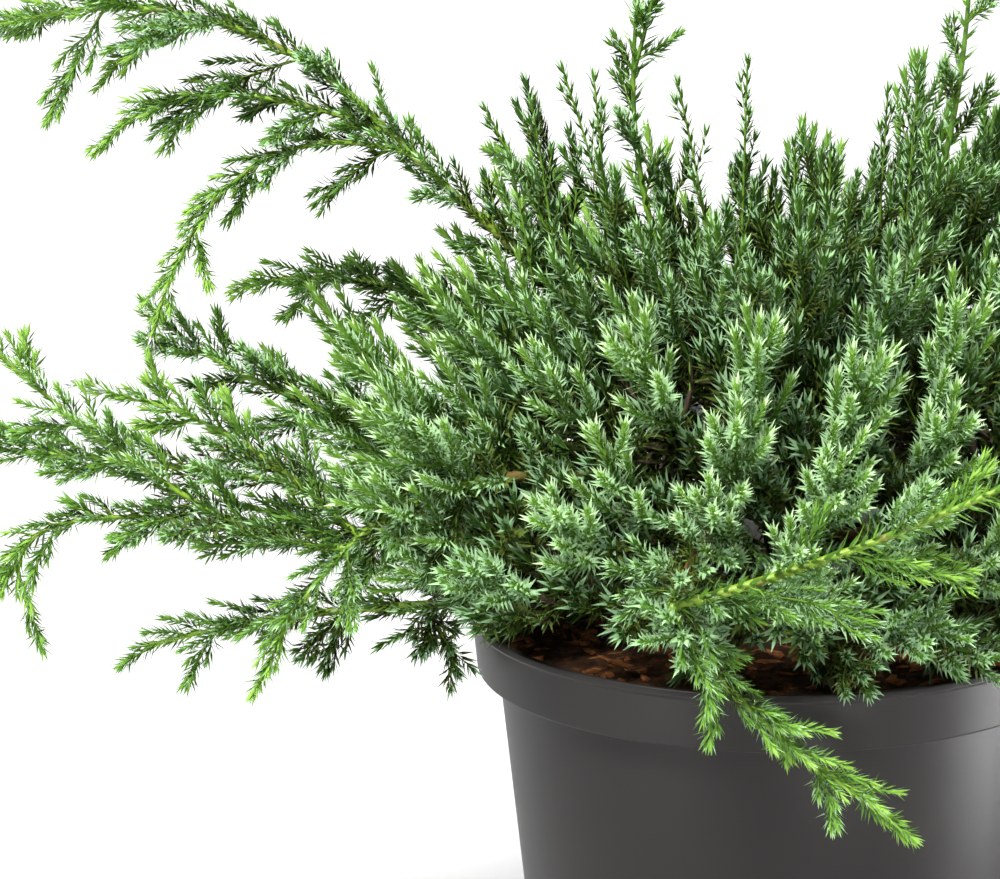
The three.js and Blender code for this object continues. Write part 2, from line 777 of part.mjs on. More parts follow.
for (const site of sites) {
  const mass = `crown_${site.name}`;
  let core = coreCell(site, shell);
  for (const limb of fatLimbs) {
    core = core.subtract(limb);
  }
  const curve = site.isTop ? siteCurve(site, stemPoint(STEM.top + GAP)) : curves.get(mass);
  const from = site.isTop ? 0 : justPast(curve, BOUGH_ENDS);
  const twig = taper(stretch(curve, from, 1), CROWN_TWIG);
  const colour = site.elevation < 30 ? COLOURS.crownLow : COLOURS.crownHigh;
  masses.set(mass, { body: largest(largest(core).add(twig)), colour });
  place(mass, masses.get(mass).body);
}

// Build: the sprays, fused to their masses. One that would touch another piece is made
// slimmer, and left out if it still would.

for (const one of [...crownSprays(), ...risers(), ...sprays]) {
  const slim = { ...one, width: one.width * SLIMMER };
  const fitting = [one, slim].find((size) => !touchesOthers(spray(size, GAP), one.mass));
  if (fitting) {
    const body = spray(fitting);
    place(one.mass, body);
    masses.get(one.mass).body = masses.get(one.mass).body.add(body);
  }
}

for (const [name, { body, colour }] of masses) {
  addNode(name, largest(body), colour);
}

export default plant;
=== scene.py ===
# %% [markdown]
# # A potted blue carpet flaky juniper
#
# A low, spreading juniper in a plastic nursery pot. Its looks come from its needles: short,
# pointed, in whorls of three, pale on the side that faces the tip of the shoot and green on
# the other. There are two hundred thousand, so the script grows them: boughs, then twigs,
# shoots and needles, by the CAD model's rule, carried on to what the CAD model leaves out.
#
# Lengths are in millimetres, as in the CAD model, and turned to metres where a mesh is made.
# The origin is the middle of the pot's underside, +Z is up, and the front looks to -Y.

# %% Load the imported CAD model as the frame
import json
import math
from dataclasses import dataclass
from math import cos, hypot, pi, radians, sin

import bmesh
import bpy
import numpy as np
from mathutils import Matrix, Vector

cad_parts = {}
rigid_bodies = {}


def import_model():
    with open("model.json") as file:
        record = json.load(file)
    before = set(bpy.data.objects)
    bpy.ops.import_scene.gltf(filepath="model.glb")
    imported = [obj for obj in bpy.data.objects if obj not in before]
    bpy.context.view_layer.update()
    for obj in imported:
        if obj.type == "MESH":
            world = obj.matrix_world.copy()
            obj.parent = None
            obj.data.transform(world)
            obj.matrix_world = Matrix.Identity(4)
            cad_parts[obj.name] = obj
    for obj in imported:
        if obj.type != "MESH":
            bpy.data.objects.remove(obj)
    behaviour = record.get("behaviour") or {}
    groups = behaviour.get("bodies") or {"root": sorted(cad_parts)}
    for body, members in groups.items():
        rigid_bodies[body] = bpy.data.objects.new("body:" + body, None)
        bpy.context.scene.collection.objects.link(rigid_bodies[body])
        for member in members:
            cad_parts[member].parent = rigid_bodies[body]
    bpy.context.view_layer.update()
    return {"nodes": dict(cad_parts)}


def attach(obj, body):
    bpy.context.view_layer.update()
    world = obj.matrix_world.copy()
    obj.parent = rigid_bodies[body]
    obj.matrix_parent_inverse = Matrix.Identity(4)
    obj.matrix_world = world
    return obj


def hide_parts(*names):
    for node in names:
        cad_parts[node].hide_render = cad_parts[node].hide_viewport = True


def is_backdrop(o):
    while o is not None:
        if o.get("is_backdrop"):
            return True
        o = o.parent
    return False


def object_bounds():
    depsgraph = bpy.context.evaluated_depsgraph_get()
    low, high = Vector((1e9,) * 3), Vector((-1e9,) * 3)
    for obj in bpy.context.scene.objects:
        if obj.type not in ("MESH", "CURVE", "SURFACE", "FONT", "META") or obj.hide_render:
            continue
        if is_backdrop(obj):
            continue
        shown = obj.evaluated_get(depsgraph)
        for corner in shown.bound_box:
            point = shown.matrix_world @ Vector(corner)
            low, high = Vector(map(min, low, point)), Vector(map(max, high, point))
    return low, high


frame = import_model()
NODES = sorted(frame["nodes"])
MM = 0.001
UP = Vector((0, 0, 1))


# %% [markdown]
# ## Meshes, and where they belong
#
# `mesh_object` turns millimetres to metres, and its objects stay at the origin, unturned and
# unscaled, as the CAD nodes do. `belongs` is the end of every piece: it gets its materials,
# rides on the body and stands for its CAD nodes.


# %% Put objects into the scene, and hand finished pieces to the frame
def put(name, data):
    """An object with this data, in the scene."""
    thing = bpy.data.objects.new(name, data)
    bpy.context.collection.objects.link(thing)
    return thing


def mesh_object(name, points, edges=(), faces=()):
    """An object at the origin whose mesh has these points, given in mm."""
    mesh = bpy.data.meshes.new(name)
    mesh.from_pydata([tuple(point * MM for point in corner) for corner in points], edges, faces)
    mesh.update()
    return put(name, mesh)


def belongs(piece, nodes, slot, *materials):
    """Say what a finished piece is made of and which CAD nodes it replaces; slot is not used."""
    if materials:
        piece.data.materials.clear()
    for material in materials:
        piece.data.materials.append(material)
    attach(piece, "root")
    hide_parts(*nodes)
    print(f"{piece.name}: {len(piece.data.polygons)} faces, for {len(nodes)} CAD nodes")


# %% [markdown]
# ## Camera
#
# From 2.4 m away the view is nearly parallel, as in a product photograph. The photograph's
# middle isn't the pot's, so the camera is turned aside until the middle of the rim lands on
# its pixel, which takes a few passes, because turning tilts the view too.

# %% Place the camera
RIM = 190
PHOTO_SIZE = (1000, 879)
RIM_PIXEL = (775.4, 606.2)      # where the photograph has the middle of the rim
PIXELS_PER_MM = 2.78            # at that point
CAMERA_DISTANCE = 2400
CAMERA_TILT = radians(16.3)
SENSOR_WIDTH = 36

focal_pixels = PIXELS_PER_MM * CAMERA_DISTANCE
look = Vector((0, cos(CAMERA_TILT), -sin(CAMERA_TILT)))
off_x, off_y = (rim - size / 2 for rim, size in zip(RIM_PIXEL, PHOTO_SIZE))
aim = look
for _ in range(5):
    side = aim.cross(UP).normalized()
    over = side.cross(aim).normalized()
    aim = look * hypot(focal_pixels, off_x, off_y) - side * off_x + over * off_y

camera = put("camera", bpy.data.cameras.new("camera"))
camera.data.sensor_width = SENSOR_WIDTH
camera.data.lens = focal_pixels / PHOTO_SIZE[0] * SENSOR_WIDTH
camera.data.clip_end = 100
camera.location = (Vector((0, 0, RIM)) - look * CAMERA_DISTANCE) * MM
camera.rotation_euler = aim.to_track_quat("-Z", "Y").to_euler()
bpy.context.scene.camera = camera

print("lens", round(camera.data.lens, 1), "mm, aimed", [round(part, 3) for part in aim.normalized()])

# %% [markdown]
# ## Node trees
#
# Materials and Geometry Nodes trees are built from the same few steps: add a node, set it,
# and fill or link its inputs. A `Tree` has a call for every kind of node, named without the
# word that Blender puts before it, so `tree.Math(...)` adds a ShaderNodeMath. Settings come
# first and are written small, as in Blender. An input goes by its identifier, which is
# unique, or by its name, with an underscore for each space.


# %% Add nodes to a tree, and fill their inputs
FAMILIES = ("GeometryNode", "ShaderNode", "FunctionNode", "")


def first(node):
    """A node's first output that is in use."""
    return next(socket for socket in node.outputs if socket.enabled)


class Tree:
    """A material's or Geometry Nodes tree, to which calls add nodes."""

    def __init__(self, data):
        self.data = data

    def __getattr__(self, kind):
        whole = next(family + kind for family in FAMILIES if hasattr(bpy.types, family + kind))
        return lambda **values: self.fill(self.data.nodes.new(whole), **values)

    def fill(self, node, **values):
        """Set a node's settings and inputs, or link the inputs to sockets or nodes."""
        for name, value in values.items():
            if name[0].islower():
                setattr(node, name, value)
                continue
            sockets = [one for one in node.inputs
                       if name in (one.identifier, one.name.replace(" ", "_"))]
            socket = next((one for one in sockets if one.enabled), sockets[0])
            if isinstance(value, bpy.types.Node):
                value = first(value)
            if isinstance(value, bpy.types.NodeSocket):
                self.data.links.new(value, socket)
            else:
                socket.default_value = value
        return node

    def maths(self, operation, *values):
        """A Math node, its inputs filled in order."""
        names = ("Value", "Value_001", "Value_002")
        return self.Math(operation=operation, **dict(zip(names, values)))

    def field(self, name):
        """A named attribute as a number, in either sort of tree."""
        if self.data.type == "GEOMETRY":
            return self.InputNamedAttribute(Name=name)
        return self.Attribute(attribute_name=name).outputs["Fac"]

    def drawn(self, low, high, seed):
        """A random number, or a random vector, for each point."""
        kind = "FLOAT_VECTOR" if isinstance(low, tuple) else "FLOAT"
        return self.RandomValue(data_type=kind, Min=low, Max=high, Seed=seed)

    def evenly(self, lines, step):
        """Lines with a point at every step."""
        return self.ResampleCurve(mode="LENGTH", Curve=self.MeshToCurve(Mesh=lines), Length=step)

    def copies(self, points, thing, **inputs):
        """A copy of a thing on every point, as real mesh."""
        placed = self.InstanceOnPoints(Points=points, Instance=thing, **inputs)
        return self.RealizeInstances(Geometry=placed)


# %% [markdown]
# A finish is a Principled shader with a noise pattern, colours picked by that pattern, and
# relief. Colours are written as sRGB hex values, the way a colour picker shows them, and
# Blender wants them linear.


# %% Start a material, and give it colours and relief
def linear(hex_colour):
    """An sRGB hex colour as linear red, green, blue and alpha."""
    parts = [int(hex_colour[start:start + 2], 16) / 255 for start in (1, 3, 5)]
    return [part / 12.92 if part <= 0.04045 else ((part + 0.055) / 1.055) ** 2.4
            for part in parts] + [1.0]


def finish(name, **sockets):
    """A new material with a Principled shader whose sockets are set; gives all three."""
    material = bpy.data.materials.new(name)
    material.use_nodes = True
    tree = Tree(material.node_tree)
    shader = material.node_tree.nodes["Principled BSDF"]
    tree.fill(shader, **sockets)
    return material, tree, shader


def noise(tree, size, stretch=(1, 1, 1), **inputs):
    """Noise on Object coordinates whose features are about size mm across."""
    place = tree.TexCoord().outputs["Object"]
    scaled = tree.Mapping(Vector=place, Scale=stretch)
    return tree.TexNoise(Vector=scaled, Scale=1 / (size * MM), **inputs)


def coloured(tree, shader, value, *stops):
    """Let a value pick the base colour from a ramp of (position, hex colour) stops."""
    ramp = tree.ValToRGB(Fac=value)
    elements = ramp.color_ramp.elements
    for position, hex_colour in stops:
        elements.new(position).color = linear(hex_colour)
    elements.remove(elements[0])
    elements.remove(elements[-1])
    tree.fill(shader, Base_Color=ramp)


def relief(tree, shader, height, depth):
    """Let a height pattern, depth mm deep, bend the light on a surface."""
    tree.fill(shader, Normal=tree.Bump(Height=height, Distance=depth * MM, Strength=1.0))


# %% [markdown]
# ## Floor, background and light
#
# The photograph is cut out on pure white, so the studio is pale all round. A large soft key
# light over the camera's left shoulder gives the needles light tips and leaves the inside of
# the crown dark, and the darkest needle green, a painted shade, makes it darker still. A
# glossy upright wall seen from above mirrors the floor near its foot, so the soft upright
# bands on the pot come from pools of light on the floor, each at the heading that the pot
# mirrors to the camera.

# %% Build the studio
FLOOR_HALF = 12000
SURROUND_STRENGTH = 0.2
KEY_STRENGTH = 6.4
KEY_ANGLE = 20                  # as wide as a softbox, so that shadows have soft edges
KEY_WAY = Vector((0.34, 0.66, -1))
POOL_LAMP_HEIGHT = 900
POOLS = {                       # heading and distance from the pot in mm, cone, watts
    "pool_left": (234, 480, 15, 300),
    "pool_middle": (290, 480, 14, 650),
    "pool_right": (0, 450, 21, 900),
}

world = bpy.data.worlds.new("studio")
bpy.context.scene.world = world
world.use_nodes = True
Tree(world.node_tree).fill(world.node_tree.nodes["Background"], Color=linear("#ffffff"),
                           Strength=SURROUND_STRENGTH)

floor = mesh_object("floor", [(x * FLOOR_HALF, y * FLOOR_HALF, 0) for x, y in (
    (-1, -1), (1, -1), (1, 1), (-1, 1))], faces=[(0, 1, 2, 3)])
floor.data.materials.append(
    finish("studio_floor_paper", Base_Color=linear("#dadada"), Roughness=0.9)[0])
floor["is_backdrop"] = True

key = put("key_light", bpy.data.lights.new("key_light", "SUN"))
key.data.energy = KEY_STRENGTH
key.data.angle = radians(KEY_ANGLE)
key.rotation_euler = KEY_WAY.to_track_quat("-Z", "Y").to_euler()

for name, (heading, distance, cone, power) in POOLS.items():
    lamp = put(name, bpy.data.lights.new(name, "SPOT"))
    lamp.data.energy = power
    lamp.data.spot_size = radians(cone)
    lamp.data.spot_blend = 0.8
    lamp.data.shadow_soft_size = 0.02
    lamp.location = (distance * MM * cos(radians(heading)),
                     distance * MM * sin(radians(heading)), POOL_LAMP_HEIGHT * MM)

bpy.context.scene.view_settings.view_transform = "Standard"
bpy.context.scene.view_settings.look = "None"

print("one key light, and", len(POOLS), "pools of light on the floor")

# %% [markdown]
# ## Geometry Nodes, used as a tool
#
# A Geometry Nodes tree makes what repeats. Each is a recipe: a mesh goes in, named sizes
# steer it, and a finished mesh comes out. `grown` runs it with each input set by its
# socket's identifier, keeps the result as a plain mesh, and takes the modifier away.


# %% Build and run a Geometry Nodes tree
SOCKET_KINDS = {float: "NodeSocketFloat", int: "NodeSocketInt"}


def new_tree(name, **sizes):
    """A Geometry Nodes tree with a mesh input and named sizes; gives it and its inputs."""
    tree = bpy.data.node_groups.new(name, "GeometryNodeTree")
    for way in ("INPUT", "OUTPUT"):
        tree.interface.new_socket("Geometry", in_out=way, socket_type="NodeSocketGeometry")
    for size, value in sizes.items():
        socket = tree.interface.new_socket(
            size.replace("_", " "), in_out="INPUT", socket_type=SOCKET_KINDS[type(value)])
        socket.default_value = value
    return Tree(tree), tree.nodes.new("NodeGroupInput").outputs


def grown(source, tree, **sizes):
    """Turn an object's mesh into what a tree makes of it, as a plain mesh."""
    modifier = source.modifiers.new(tree.data.name, "NODES")
    modifier.node_group = tree.data
    for item in tree.data.interface.items_tree:
        if item.socket_type in SOCKET_KINDS.values():
            modifier[item.identifier] = sizes.get(item.name.replace(" ", "_"), item.default_value)
    evaluated = source.evaluated_get(bpy.context.evaluated_depsgraph_get())
    mesh = bpy.data.meshes.new_from_object(evaluated)
    source.modifiers.remove(modifier)
    source.data = mesh
    return source


# %% [markdown]
# ## Chance, headings and curves
#
# These are the CAD model's tools. `chance` gives the same number each time for one number
# and one salt, which keeps every run the same. Every limb is a quadratic curve, held as its
# start, the point that pulls it, and its end.

# %% Repeat the CAD model's tools
SEED = 4.7
GOLDEN_ANGLE = 137.508


def between(low, high, share):
    return low + (high - low) * share


def chance(number, salt):
    """The same share from 0 to 1 each time for one number and one salt."""
    wave = sin(number * 12.9898 + salt * 78.233 + SEED) * 43758.5453
    return wave - math.floor(wave)


def within(span, number, salt):
    return between(*span, chance(number, salt))


def towards(heading, elevation=0.0):
    """A direction from its compass heading and its height over the horizon, in degrees."""
    heading, elevation = radians(heading), radians(elevation)
    return Vector((cos(elevation) * cos(heading), cos(elevation) * sin(heading), sin(elevation)))


def on(curve, share):
    """The point of a quadratic curve at a share of it."""
    start, pull, end = curve
    return start * (1 - share) ** 2 + pull * (2 * share * (1 - share)) + end * share ** 2


def slope(curve, share):
    """The way a quadratic curve runs at a share of it, as long as its speed there."""
    start, pull, end = curve
    return (pull - start) * (2 * (1 - share)) + (end - pull) * (2 * share)


def aside(forward, turn, spread):
    """A direction that leaves another at an angle, on a side set by turn (both radians)."""
    across = forward.cross(UP).normalized()
    over = across.cross(forward)
    return forward * cos(spread) + (across * cos(turn) + over * sin(turn)) * sin(spread)


# %% [markdown]
# ## The pot
#
# A thin-walled nursery pot, moulded in dark grey polypropylene. It tapers down from a deep
# collar that overhangs the body, and every edge has the small rounding that a mould leaves,
# which catches a thin line of light. So the pot is a profile spun round the axis: the CAD
# pot's, with rounded corners and many more steps round.

# %% Draw the pot's profile, and round its corners
RIM_RADIUS = 110
COLLAR_HEIGHT = 20.5
COLLAR_FOOT = RIM - COLLAR_HEIGHT
COLLAR_FOOT_RADIUS = 107
COLLAR_LEDGE = 1.2              # how far the collar reaches down over the body
BODY_RADIUS = 99.5
FOOT_RADIUS = 80
WALL = 2.2
POT_SEGMENTS = 128


def pot_outside(height):
    """The body's outer radius at a height under the collar."""
    return between(FOOT_RADIUS, BODY_RADIUS, height / COLLAR_FOOT)


POT_PROFILE = [                 # radius, height, rounding
    (0, 0, 0),
    (FOOT_RADIUS, 0, 1.6),
    (pot_outside(COLLAR_FOOT), COLLAR_FOOT - COLLAR_LEDGE, 0.8),
    (COLLAR_FOOT_RADIUS, COLLAR_FOOT - COLLAR_LEDGE, 1.1),
    (RIM_RADIUS - 1, RIM - 3.4, 0.5),
    (RIM_RADIUS, RIM - 2.4, 0.4),
    (RIM_RADIUS - 0.2, RIM, 0.7),
    (RIM_RADIUS - WALL, RIM, 0.7),
    (COLLAR_FOOT_RADIUS - WALL, COLLAR_FOOT + WALL, 1),
    (pot_outside(COLLAR_FOOT) - WALL, COLLAR_FOOT + WALL - COLLAR_LEDGE, 1),
    (pot_outside(WALL) - WALL, WALL, 1.5),
    (0, WALL, 0),
]


def rounded(profile, steps=4):
    """A profile of (radius, height, rounding) corners as points, each corner rounded."""
    points = []
    for number, (radius, height, rounding) in enumerate(profile):
        corner = Vector((radius, height))
        if not rounding:
            points.append(corner)
            continue
        before = Vector(profile[number - 1][:2]) - corner
        after = Vector(profile[number + 1][:2]) - corner
        bend = (corner + before.normalized() * rounding, corner,
                corner + after.normalized() * rounding)
        points += [on(bend, step / steps) for step in range(steps + 1)]
    return points


# %% Spin the profile
def spun(name, profile, segments):
    """A closed mesh from a profile whose first and last points lie on the axis."""
    points = [(0, 0, profile[0].y), (0, 0, profile[-1].y)]
    rings = []
    for radius, height in profile[1:-1]:
        rings.append(len(points))
        for segment in range(segments):
            turn = 2 * pi * segment / segments
            points.append((radius * cos(turn), radius * sin(turn), height))
    faces = []
    for segment in range(segments):
        following = (segment + 1) % segments
        faces.append((0, rings[0] + following, rings[0] + segment))
        faces.append((1, rings[-1] + segment, rings[-1] + following))
        for low, high in zip(rings, rings[1:]):
            faces.append((low + segment, low + following, high + following, high + segment))
    piece = mesh_object(name, points, faces=faces)
    piece.data.shade_smooth()
    return piece


pot_piece = spun("pot_shell", rounded(POT_PROFILE), POT_SEGMENTS)
print("pot:", len(pot_piece.data.polygons), "faces, lip of", WALL, "mm")

# %% [markdown]
# The drain holes repeat, so a small tree makes them: points on a circle, a drill on each
# point, and one boolean that takes all the drills away.

# %% Drill the drain holes
DRAIN_HOLES = 6
DRAIN_RADIUS = 5
DRAIN_RING = 58

drains, given = new_tree("drain_holes", Holes=DRAIN_HOLES, Ring_radius=DRAIN_RING * MM,
                         Hole_radius=DRAIN_RADIUS * MM, Depth=3 * WALL * MM)
ring = drains.MeshCircle(Vertices=given["Holes"], Radius=given["Ring radius"])
turned = drains.Transform(Geometry=ring, Rotation=(0, 0, pi / DRAIN_HOLES))
drill = drains.MeshCylinder(Vertices=24, Radius=given["Hole radius"], Depth=given["Depth"])
cut = drains.MeshBoolean(operation="DIFFERENCE", Mesh_1=given["Geometry"],
                         Mesh_2=drains.copies(turned, drill))
drains.NodeGroupOutput(Geometry=cut)

grown(pot_piece, drains)
print("pot with", DRAIN_HOLES, "drain holes:", len(pot_piece.data.polygons), "faces")

# %% [markdown]
# Moulded polypropylene is a dark satin: smooth enough to mirror a lamp as a wide soft band,
# and rough enough to blur it. A faint clouding where the melt flowed and a fine orange-peel
# skin break the evenness.

# %% Finish the pot
pot_plastic, tree, shader = finish("satin_moulded_polypropylene", Specular_IOR_Level=0.25)
flow = noise(tree, 60, (1, 1, 0.35), Detail=3.0)
clouding = tree.Mix(data_type="RGBA", Factor=flow, A=linear("#1c1a19"), B=linear("#242120"))
satin = tree.MapRange(Value=flow, To_Min=0.4, To_Max=0.48)
tree.fill(shader, Base_Color=clouding, Roughness=satin)
relief(tree, shader, noise(tree, 1.1, Detail=2.0), 0.02)

belongs(pot_piece, ["pot"], "pot_plastic", pot_plastic)
pot_piece.data.shade_smooth()
pot_piece.data.set_sharp_from_angle(angle=radians(50))

# %% [markdown]
# ## The soil
#
# Moist brown potting soil fills the pot to a finger's breadth under the rim, a little higher
# round the stem. Orange-brown chips and fibres of bark lie on it, and show where the foliage
# lifts off the rim. The bed is a turned shape whose top noise pushes up and down, so its
# crumbs are real relief.

# %% Shape the soil's bed
SOIL_TOP = 180
SOIL_FLAT_RADIUS = 22
SOIL_DIP = 2.5
SOIL_RINGS = 44
SOIL_SEGMENTS = 144
GAP = 0.3                       # between pieces that touch

inset = WALL + GAP
edge = SOIL_TOP - SOIL_DIP
collar_inside = between(COLLAR_FOOT_RADIUS, RIM_RADIUS, (edge - COLLAR_FOOT) / COLLAR_HEIGHT)
top_radius = collar_inside - inset - GAP
soil_profile = [Vector(point) for point in (
    (0, inset), (pot_outside(inset) - inset, inset),
    (pot_outside(COLLAR_FOOT) - inset, COLLAR_FOOT - COLLAR_LEDGE + inset),
    (COLLAR_FOOT_RADIUS - inset, COLLAR_FOOT + inset))]
for ring_number in range(SOIL_RINGS + 1):
    radius = top_radius * (1 - ring_number / SOIL_RINGS)
    away = max(0, radius - SOIL_FLAT_RADIUS) / (top_radius - SOIL_FLAT_RADIUS)
    soil_profile.append(Vector((radius, SOIL_TOP - SOIL_DIP * away ** 1.5)))
soil_piece = spun("soil_bed", soil_profile, SOIL_SEGMENTS)
print("soil: top", SOIL_TOP, "mm up,", round(2 * top_radius), "mm across")

# %% Crumble its top
crumbler, given = new_tree("soil_crumbs", Crumb_size=9 * MM, Height=9 * MM,
                           Level=(edge - 0.5) * MM)
place = crumbler.InputPosition()
level = crumbler.SeparateXYZ(Vector=place).outputs["Z"]
is_top = crumbler.Compare(operation="GREATER_THAN", A=level, B=given["Level"])
crumbs = crumbler.TexNoise(Vector=place, Detail=4.0, Roughness=0.65,
                           Scale=crumbler.maths("DIVIDE", 1.0, given["Crumb size"]))
rise = crumbler.maths("MULTIPLY", crumbler.maths("SUBTRACT", crumbs, 0.55), given["Height"])
crumbled = crumbler.SetPosition(Geometry=given["Geometry"], Selection=is_top,
                                Offset=crumbler.CombineXYZ(Z=rise))
crumbler.NodeGroupOutput(Geometry=crumbled)

grown(soil_piece, crumbler)
print("soil with crumbs:", len(soil_piece.data.polygons), "faces")

# %% [markdown]
# A chip of bark is a flat, broken sliver. One lumpy chip is modelled, and a tree lays it
# down on what faces up, each time with its own size, length and turn.

# %% Model one bark chip
chip_shape = bmesh.new()
bmesh.ops.create_icosphere(chip_shape, subdivisions=1, radius=0.5)
for number, corner in enumerate(chip_shape.verts):
    corner.co *= within((0.75, 1.15), number, 21)
    corner.co.z = max(-0.28, min(0.28, corner.co.z)) * 0.7
chip_mesh = bpy.data.meshes.new("bark_chip")
chip_shape.to_mesh(chip_mesh)
chip_shape.free()
bark_chip = bpy.data.objects.new("bark_chip", chip_mesh)
print("chip:", len(chip_mesh.polygons), "faces")

# %% Scatter the chips
scatter, given = new_tree("scattered_bark", Per_square_metre=9000.0, Chip_length=11 * MM,
                          Chip_width=4.5 * MM, Reach=(top_radius - 7) * MM, Seed=3)
from_middle = scatter.VectorMath(operation="DISTANCE", Vector=scatter.InputPosition(),
                                 Vector_001=(0, 0, SOIL_TOP * MM))
near = scatter.Compare(operation="LESS_THAN", A=from_middle, B=given["Reach"])
upward = scatter.SeparateXYZ(Vector=scatter.InputNormal()).outputs["Z"]
is_up = scatter.Compare(operation="GREATER_THAN", A=upward, B=0.5)
is_top = scatter.BooleanMath(operation="AND", Boolean=near, Boolean_001=is_up)
spots = scatter.DistributePointsOnFaces(distribute_method="RANDOM", Selection=is_top,
                                        Mesh=given["Geometry"], Density=given["Per square metre"],
                                        Seed=given["Seed"])
spin = scatter.drawn((-0.3, -0.3, 0.0), (0.3, 0.3, 6.283), given["Seed"])
length = scatter.maths("MULTIPLY", scatter.drawn(0.35, 1.5, 11), given["Chip length"])
width = scatter.maths("MULTIPLY", scatter.drawn(0.2, 1.1, 12), given["Chip width"])
chip = scatter.ObjectInfo(Object=bark_chip).outputs["Geometry"]
size = scatter.CombineXYZ(X=length, Y=width, Z=width)
laid = scatter.copies(spots, chip, Rotation=spin, Scale=size)
scatter.NodeGroupOutput(Geometry=laid)

chips_piece = grown(put("bark_chips", soil_piece.data.copy()), scatter)
print("bark chips:", len(chips_piece.data.polygons) // len(chip_mesh.polygons))

# %% [markdown]
# Potting soil is peat and composted bark: nearly black where it is moist, brown on the
# crumbs. The chips are milled bark, weathered to an orange brown and paler where they broke.
# Both are dull, and noise at the size of crumbs and fibres gives their colours.

# %% Finish the soil and the chips
peat, tree, shader = finish("moist_peat_compost", Roughness=1.0)
coloured(tree, shader, noise(tree, 5, Detail=5.0, Roughness=0.7),
         (0.35, "#302010"), (0.55, "#684428"), (0.72, "#a8724a"))
relief(tree, shader, noise(tree, 1.5, Detail=4.0), 0.8)
belongs(soil_piece, ["soil"], "potting_soil", peat)

milled_bark, tree, shader = finish("milled_pine_bark", Roughness=0.9)
coloured(tree, shader, noise(tree, 7, (1, 2.2, 1), Detail=4.0, Roughness=0.7),
         (0.3, "#7c4828"), (0.5, "#cc8048"), (0.66, "#e8a468"), (0.8, "#f4d4ac"))
relief(tree, shader, noise(tree, 1.2, Detail=3.0), 0.5)
belongs(chips_piece, ["soil"], "potting_soil", milled_bark)

# %% [markdown]
# ## The limbs
#
# A young nursery juniper has a short stem, and boughs that fan out of it at all headings. The
# longest are the leaders: arching, rising or hanging limbs that leave the crown, as the table
# says. The crown between them is a rounded cushion, which eleven boughs fill.

# %% The stem, and the table of leaders
STEM_FOOT = SOIL_TOP + GAP
STEM_TOP = RIM + 70
STEM_BARE = 12
STEM_FLARE_RADIUS = 14
STEM_FLARE_FADES = 7
STEM_RADIUS = 8.5
STEM_TOP_RADIUS = 3.6
STEM_LEAN = (3, 4)
SHOOT_RADII = (1.6, 0.7)


@dataclass
class Leader:
    """A long limb: where it goes (heading, reach, heights over the rim) and its sprays."""
    name: str
    heading: float
    reach: float
    tip: float                  # height of the tip
    crest_out: float            # how far out the point that pulls the curve is
    crest: float                # and its height
    sprays: int
    spray: float                # length of the longest
    droop: float                # how far a spray's tip sinks
    parent: str = ""            # the limb it branches from, and at which share of it
    at: float = 0
    radii: tuple = SHOOT_RADII
    every: float = 2.4          # from one whorl on the limb itself to the next, mm
    age: tuple = (0.05, 0)      # how far its skin has turned to bark, from foot to tip
    bald: bool = False          # grew so fast that it has no short shoots yet


LEADERS = [
    Leader("arch_left", 176, 155, 183, 83, 113, 9, 32, 0, radii=(1.6, 1.3), age=(0.15, 0)),
    Leader("arch_tip", 176, 144, 198, 62, 234, 10, 54, 18, "arch_left", 1, (1.3, 0.6)),
    Leader("hanging_left", 190, 91, 108, 66, 185, 7, 28, 8, "arch_left", 0.85, (1, 0.5)),
    Leader("arch_side", 182, 94, 174, 61, 195, 7, 26, 8, "arch_left", 0.9, (1, 0.5)),
    Leader("left_upper", 156, 202, 99, 110, 115, 8, 44, 6),
    Leader("left_mid", 178, 213, 94, 181, 68, 9, 44, -4),
    Leader("left_rising", 172, 299, 44, 169, 43, 10, 44, 0),
    Leader("front_left_arch", 214, 206, 20, 147, 107, 9, 42, 8),
    Leader("left_bright", 176, 135, 126, 47, 43, 10, 38, 0, "front_left_arch", 0.8, (1.4, 0.6)),
    Leader("left_drooping", 188, 79, 28, 98, 73, 7, 26, 5, "left_bright", 0.3, (1, 0.5)),
    Leader("left_spray", 168, 83, 95, 46, 92, 8, 36, -6, "front_left_arch", 0.77, (1, 0.5)),
    Leader("left_low", 186, 223, -10, 138, 12, 6, 34, 8),
    Leader("front_fork", 256, 155, 42, 110, 62, 0, 0, 0),
    Leader("front_rising", 4, 155, 106, 86, 66, 10, 50, 0, "front_fork", 1, (1.8, 0.8), 2.2,
           bald=True),
    Leader("front_falling", 12, 75, -35, 14, 10, 7, 28, 4, "front_fork", 1),
    Leader("upright_left", 165, 53, 234, 72, 122, 8, 28, -4, radii=(1.3, 0.6),
           every=3.8, age=(-0.15, -0.25), bald=True),
    Leader("upright_twin", 350, 10, 234, 6, 212, 4, 15, -2, "upright_left", 0.8, (0.8, 0.5),
           3.8, (-0.2, -0.25), True),
    Leader("upright_right", 350, 64, 240, 62, 120, 9, 34, -4, radii=(1.5, 0.7),
           every=3.8, age=(-0.15, -0.25), bald=True),
    Leader("arch_right", 20, 262, 168, 140, 222, 11, 54, 12),
    Leader("right_low", 4, 262, 36, 170, 30, 9, 48, 6),
    Leader("right_front", 328, 232, 14, 140, 74, 8, 44, 8),
    Leader("back_left", 116, 238, 112, 140, 92, 8, 46, 0),
    Leader("back_right", 64, 246, 72, 150, 66, 8, 46, 6),
]
print(len(LEADERS), "leaders, the longest reaches", max(one.reach for one in LEADERS), "mm")


# %% Run the stem and the leaders' curves
def stem_point(height):
    share = (height - STEM_FOOT) / (STEM_TOP - STEM_FOOT)
    return Vector((STEM_LEAN[0] * share, STEM_LEAN[1] * share, height))


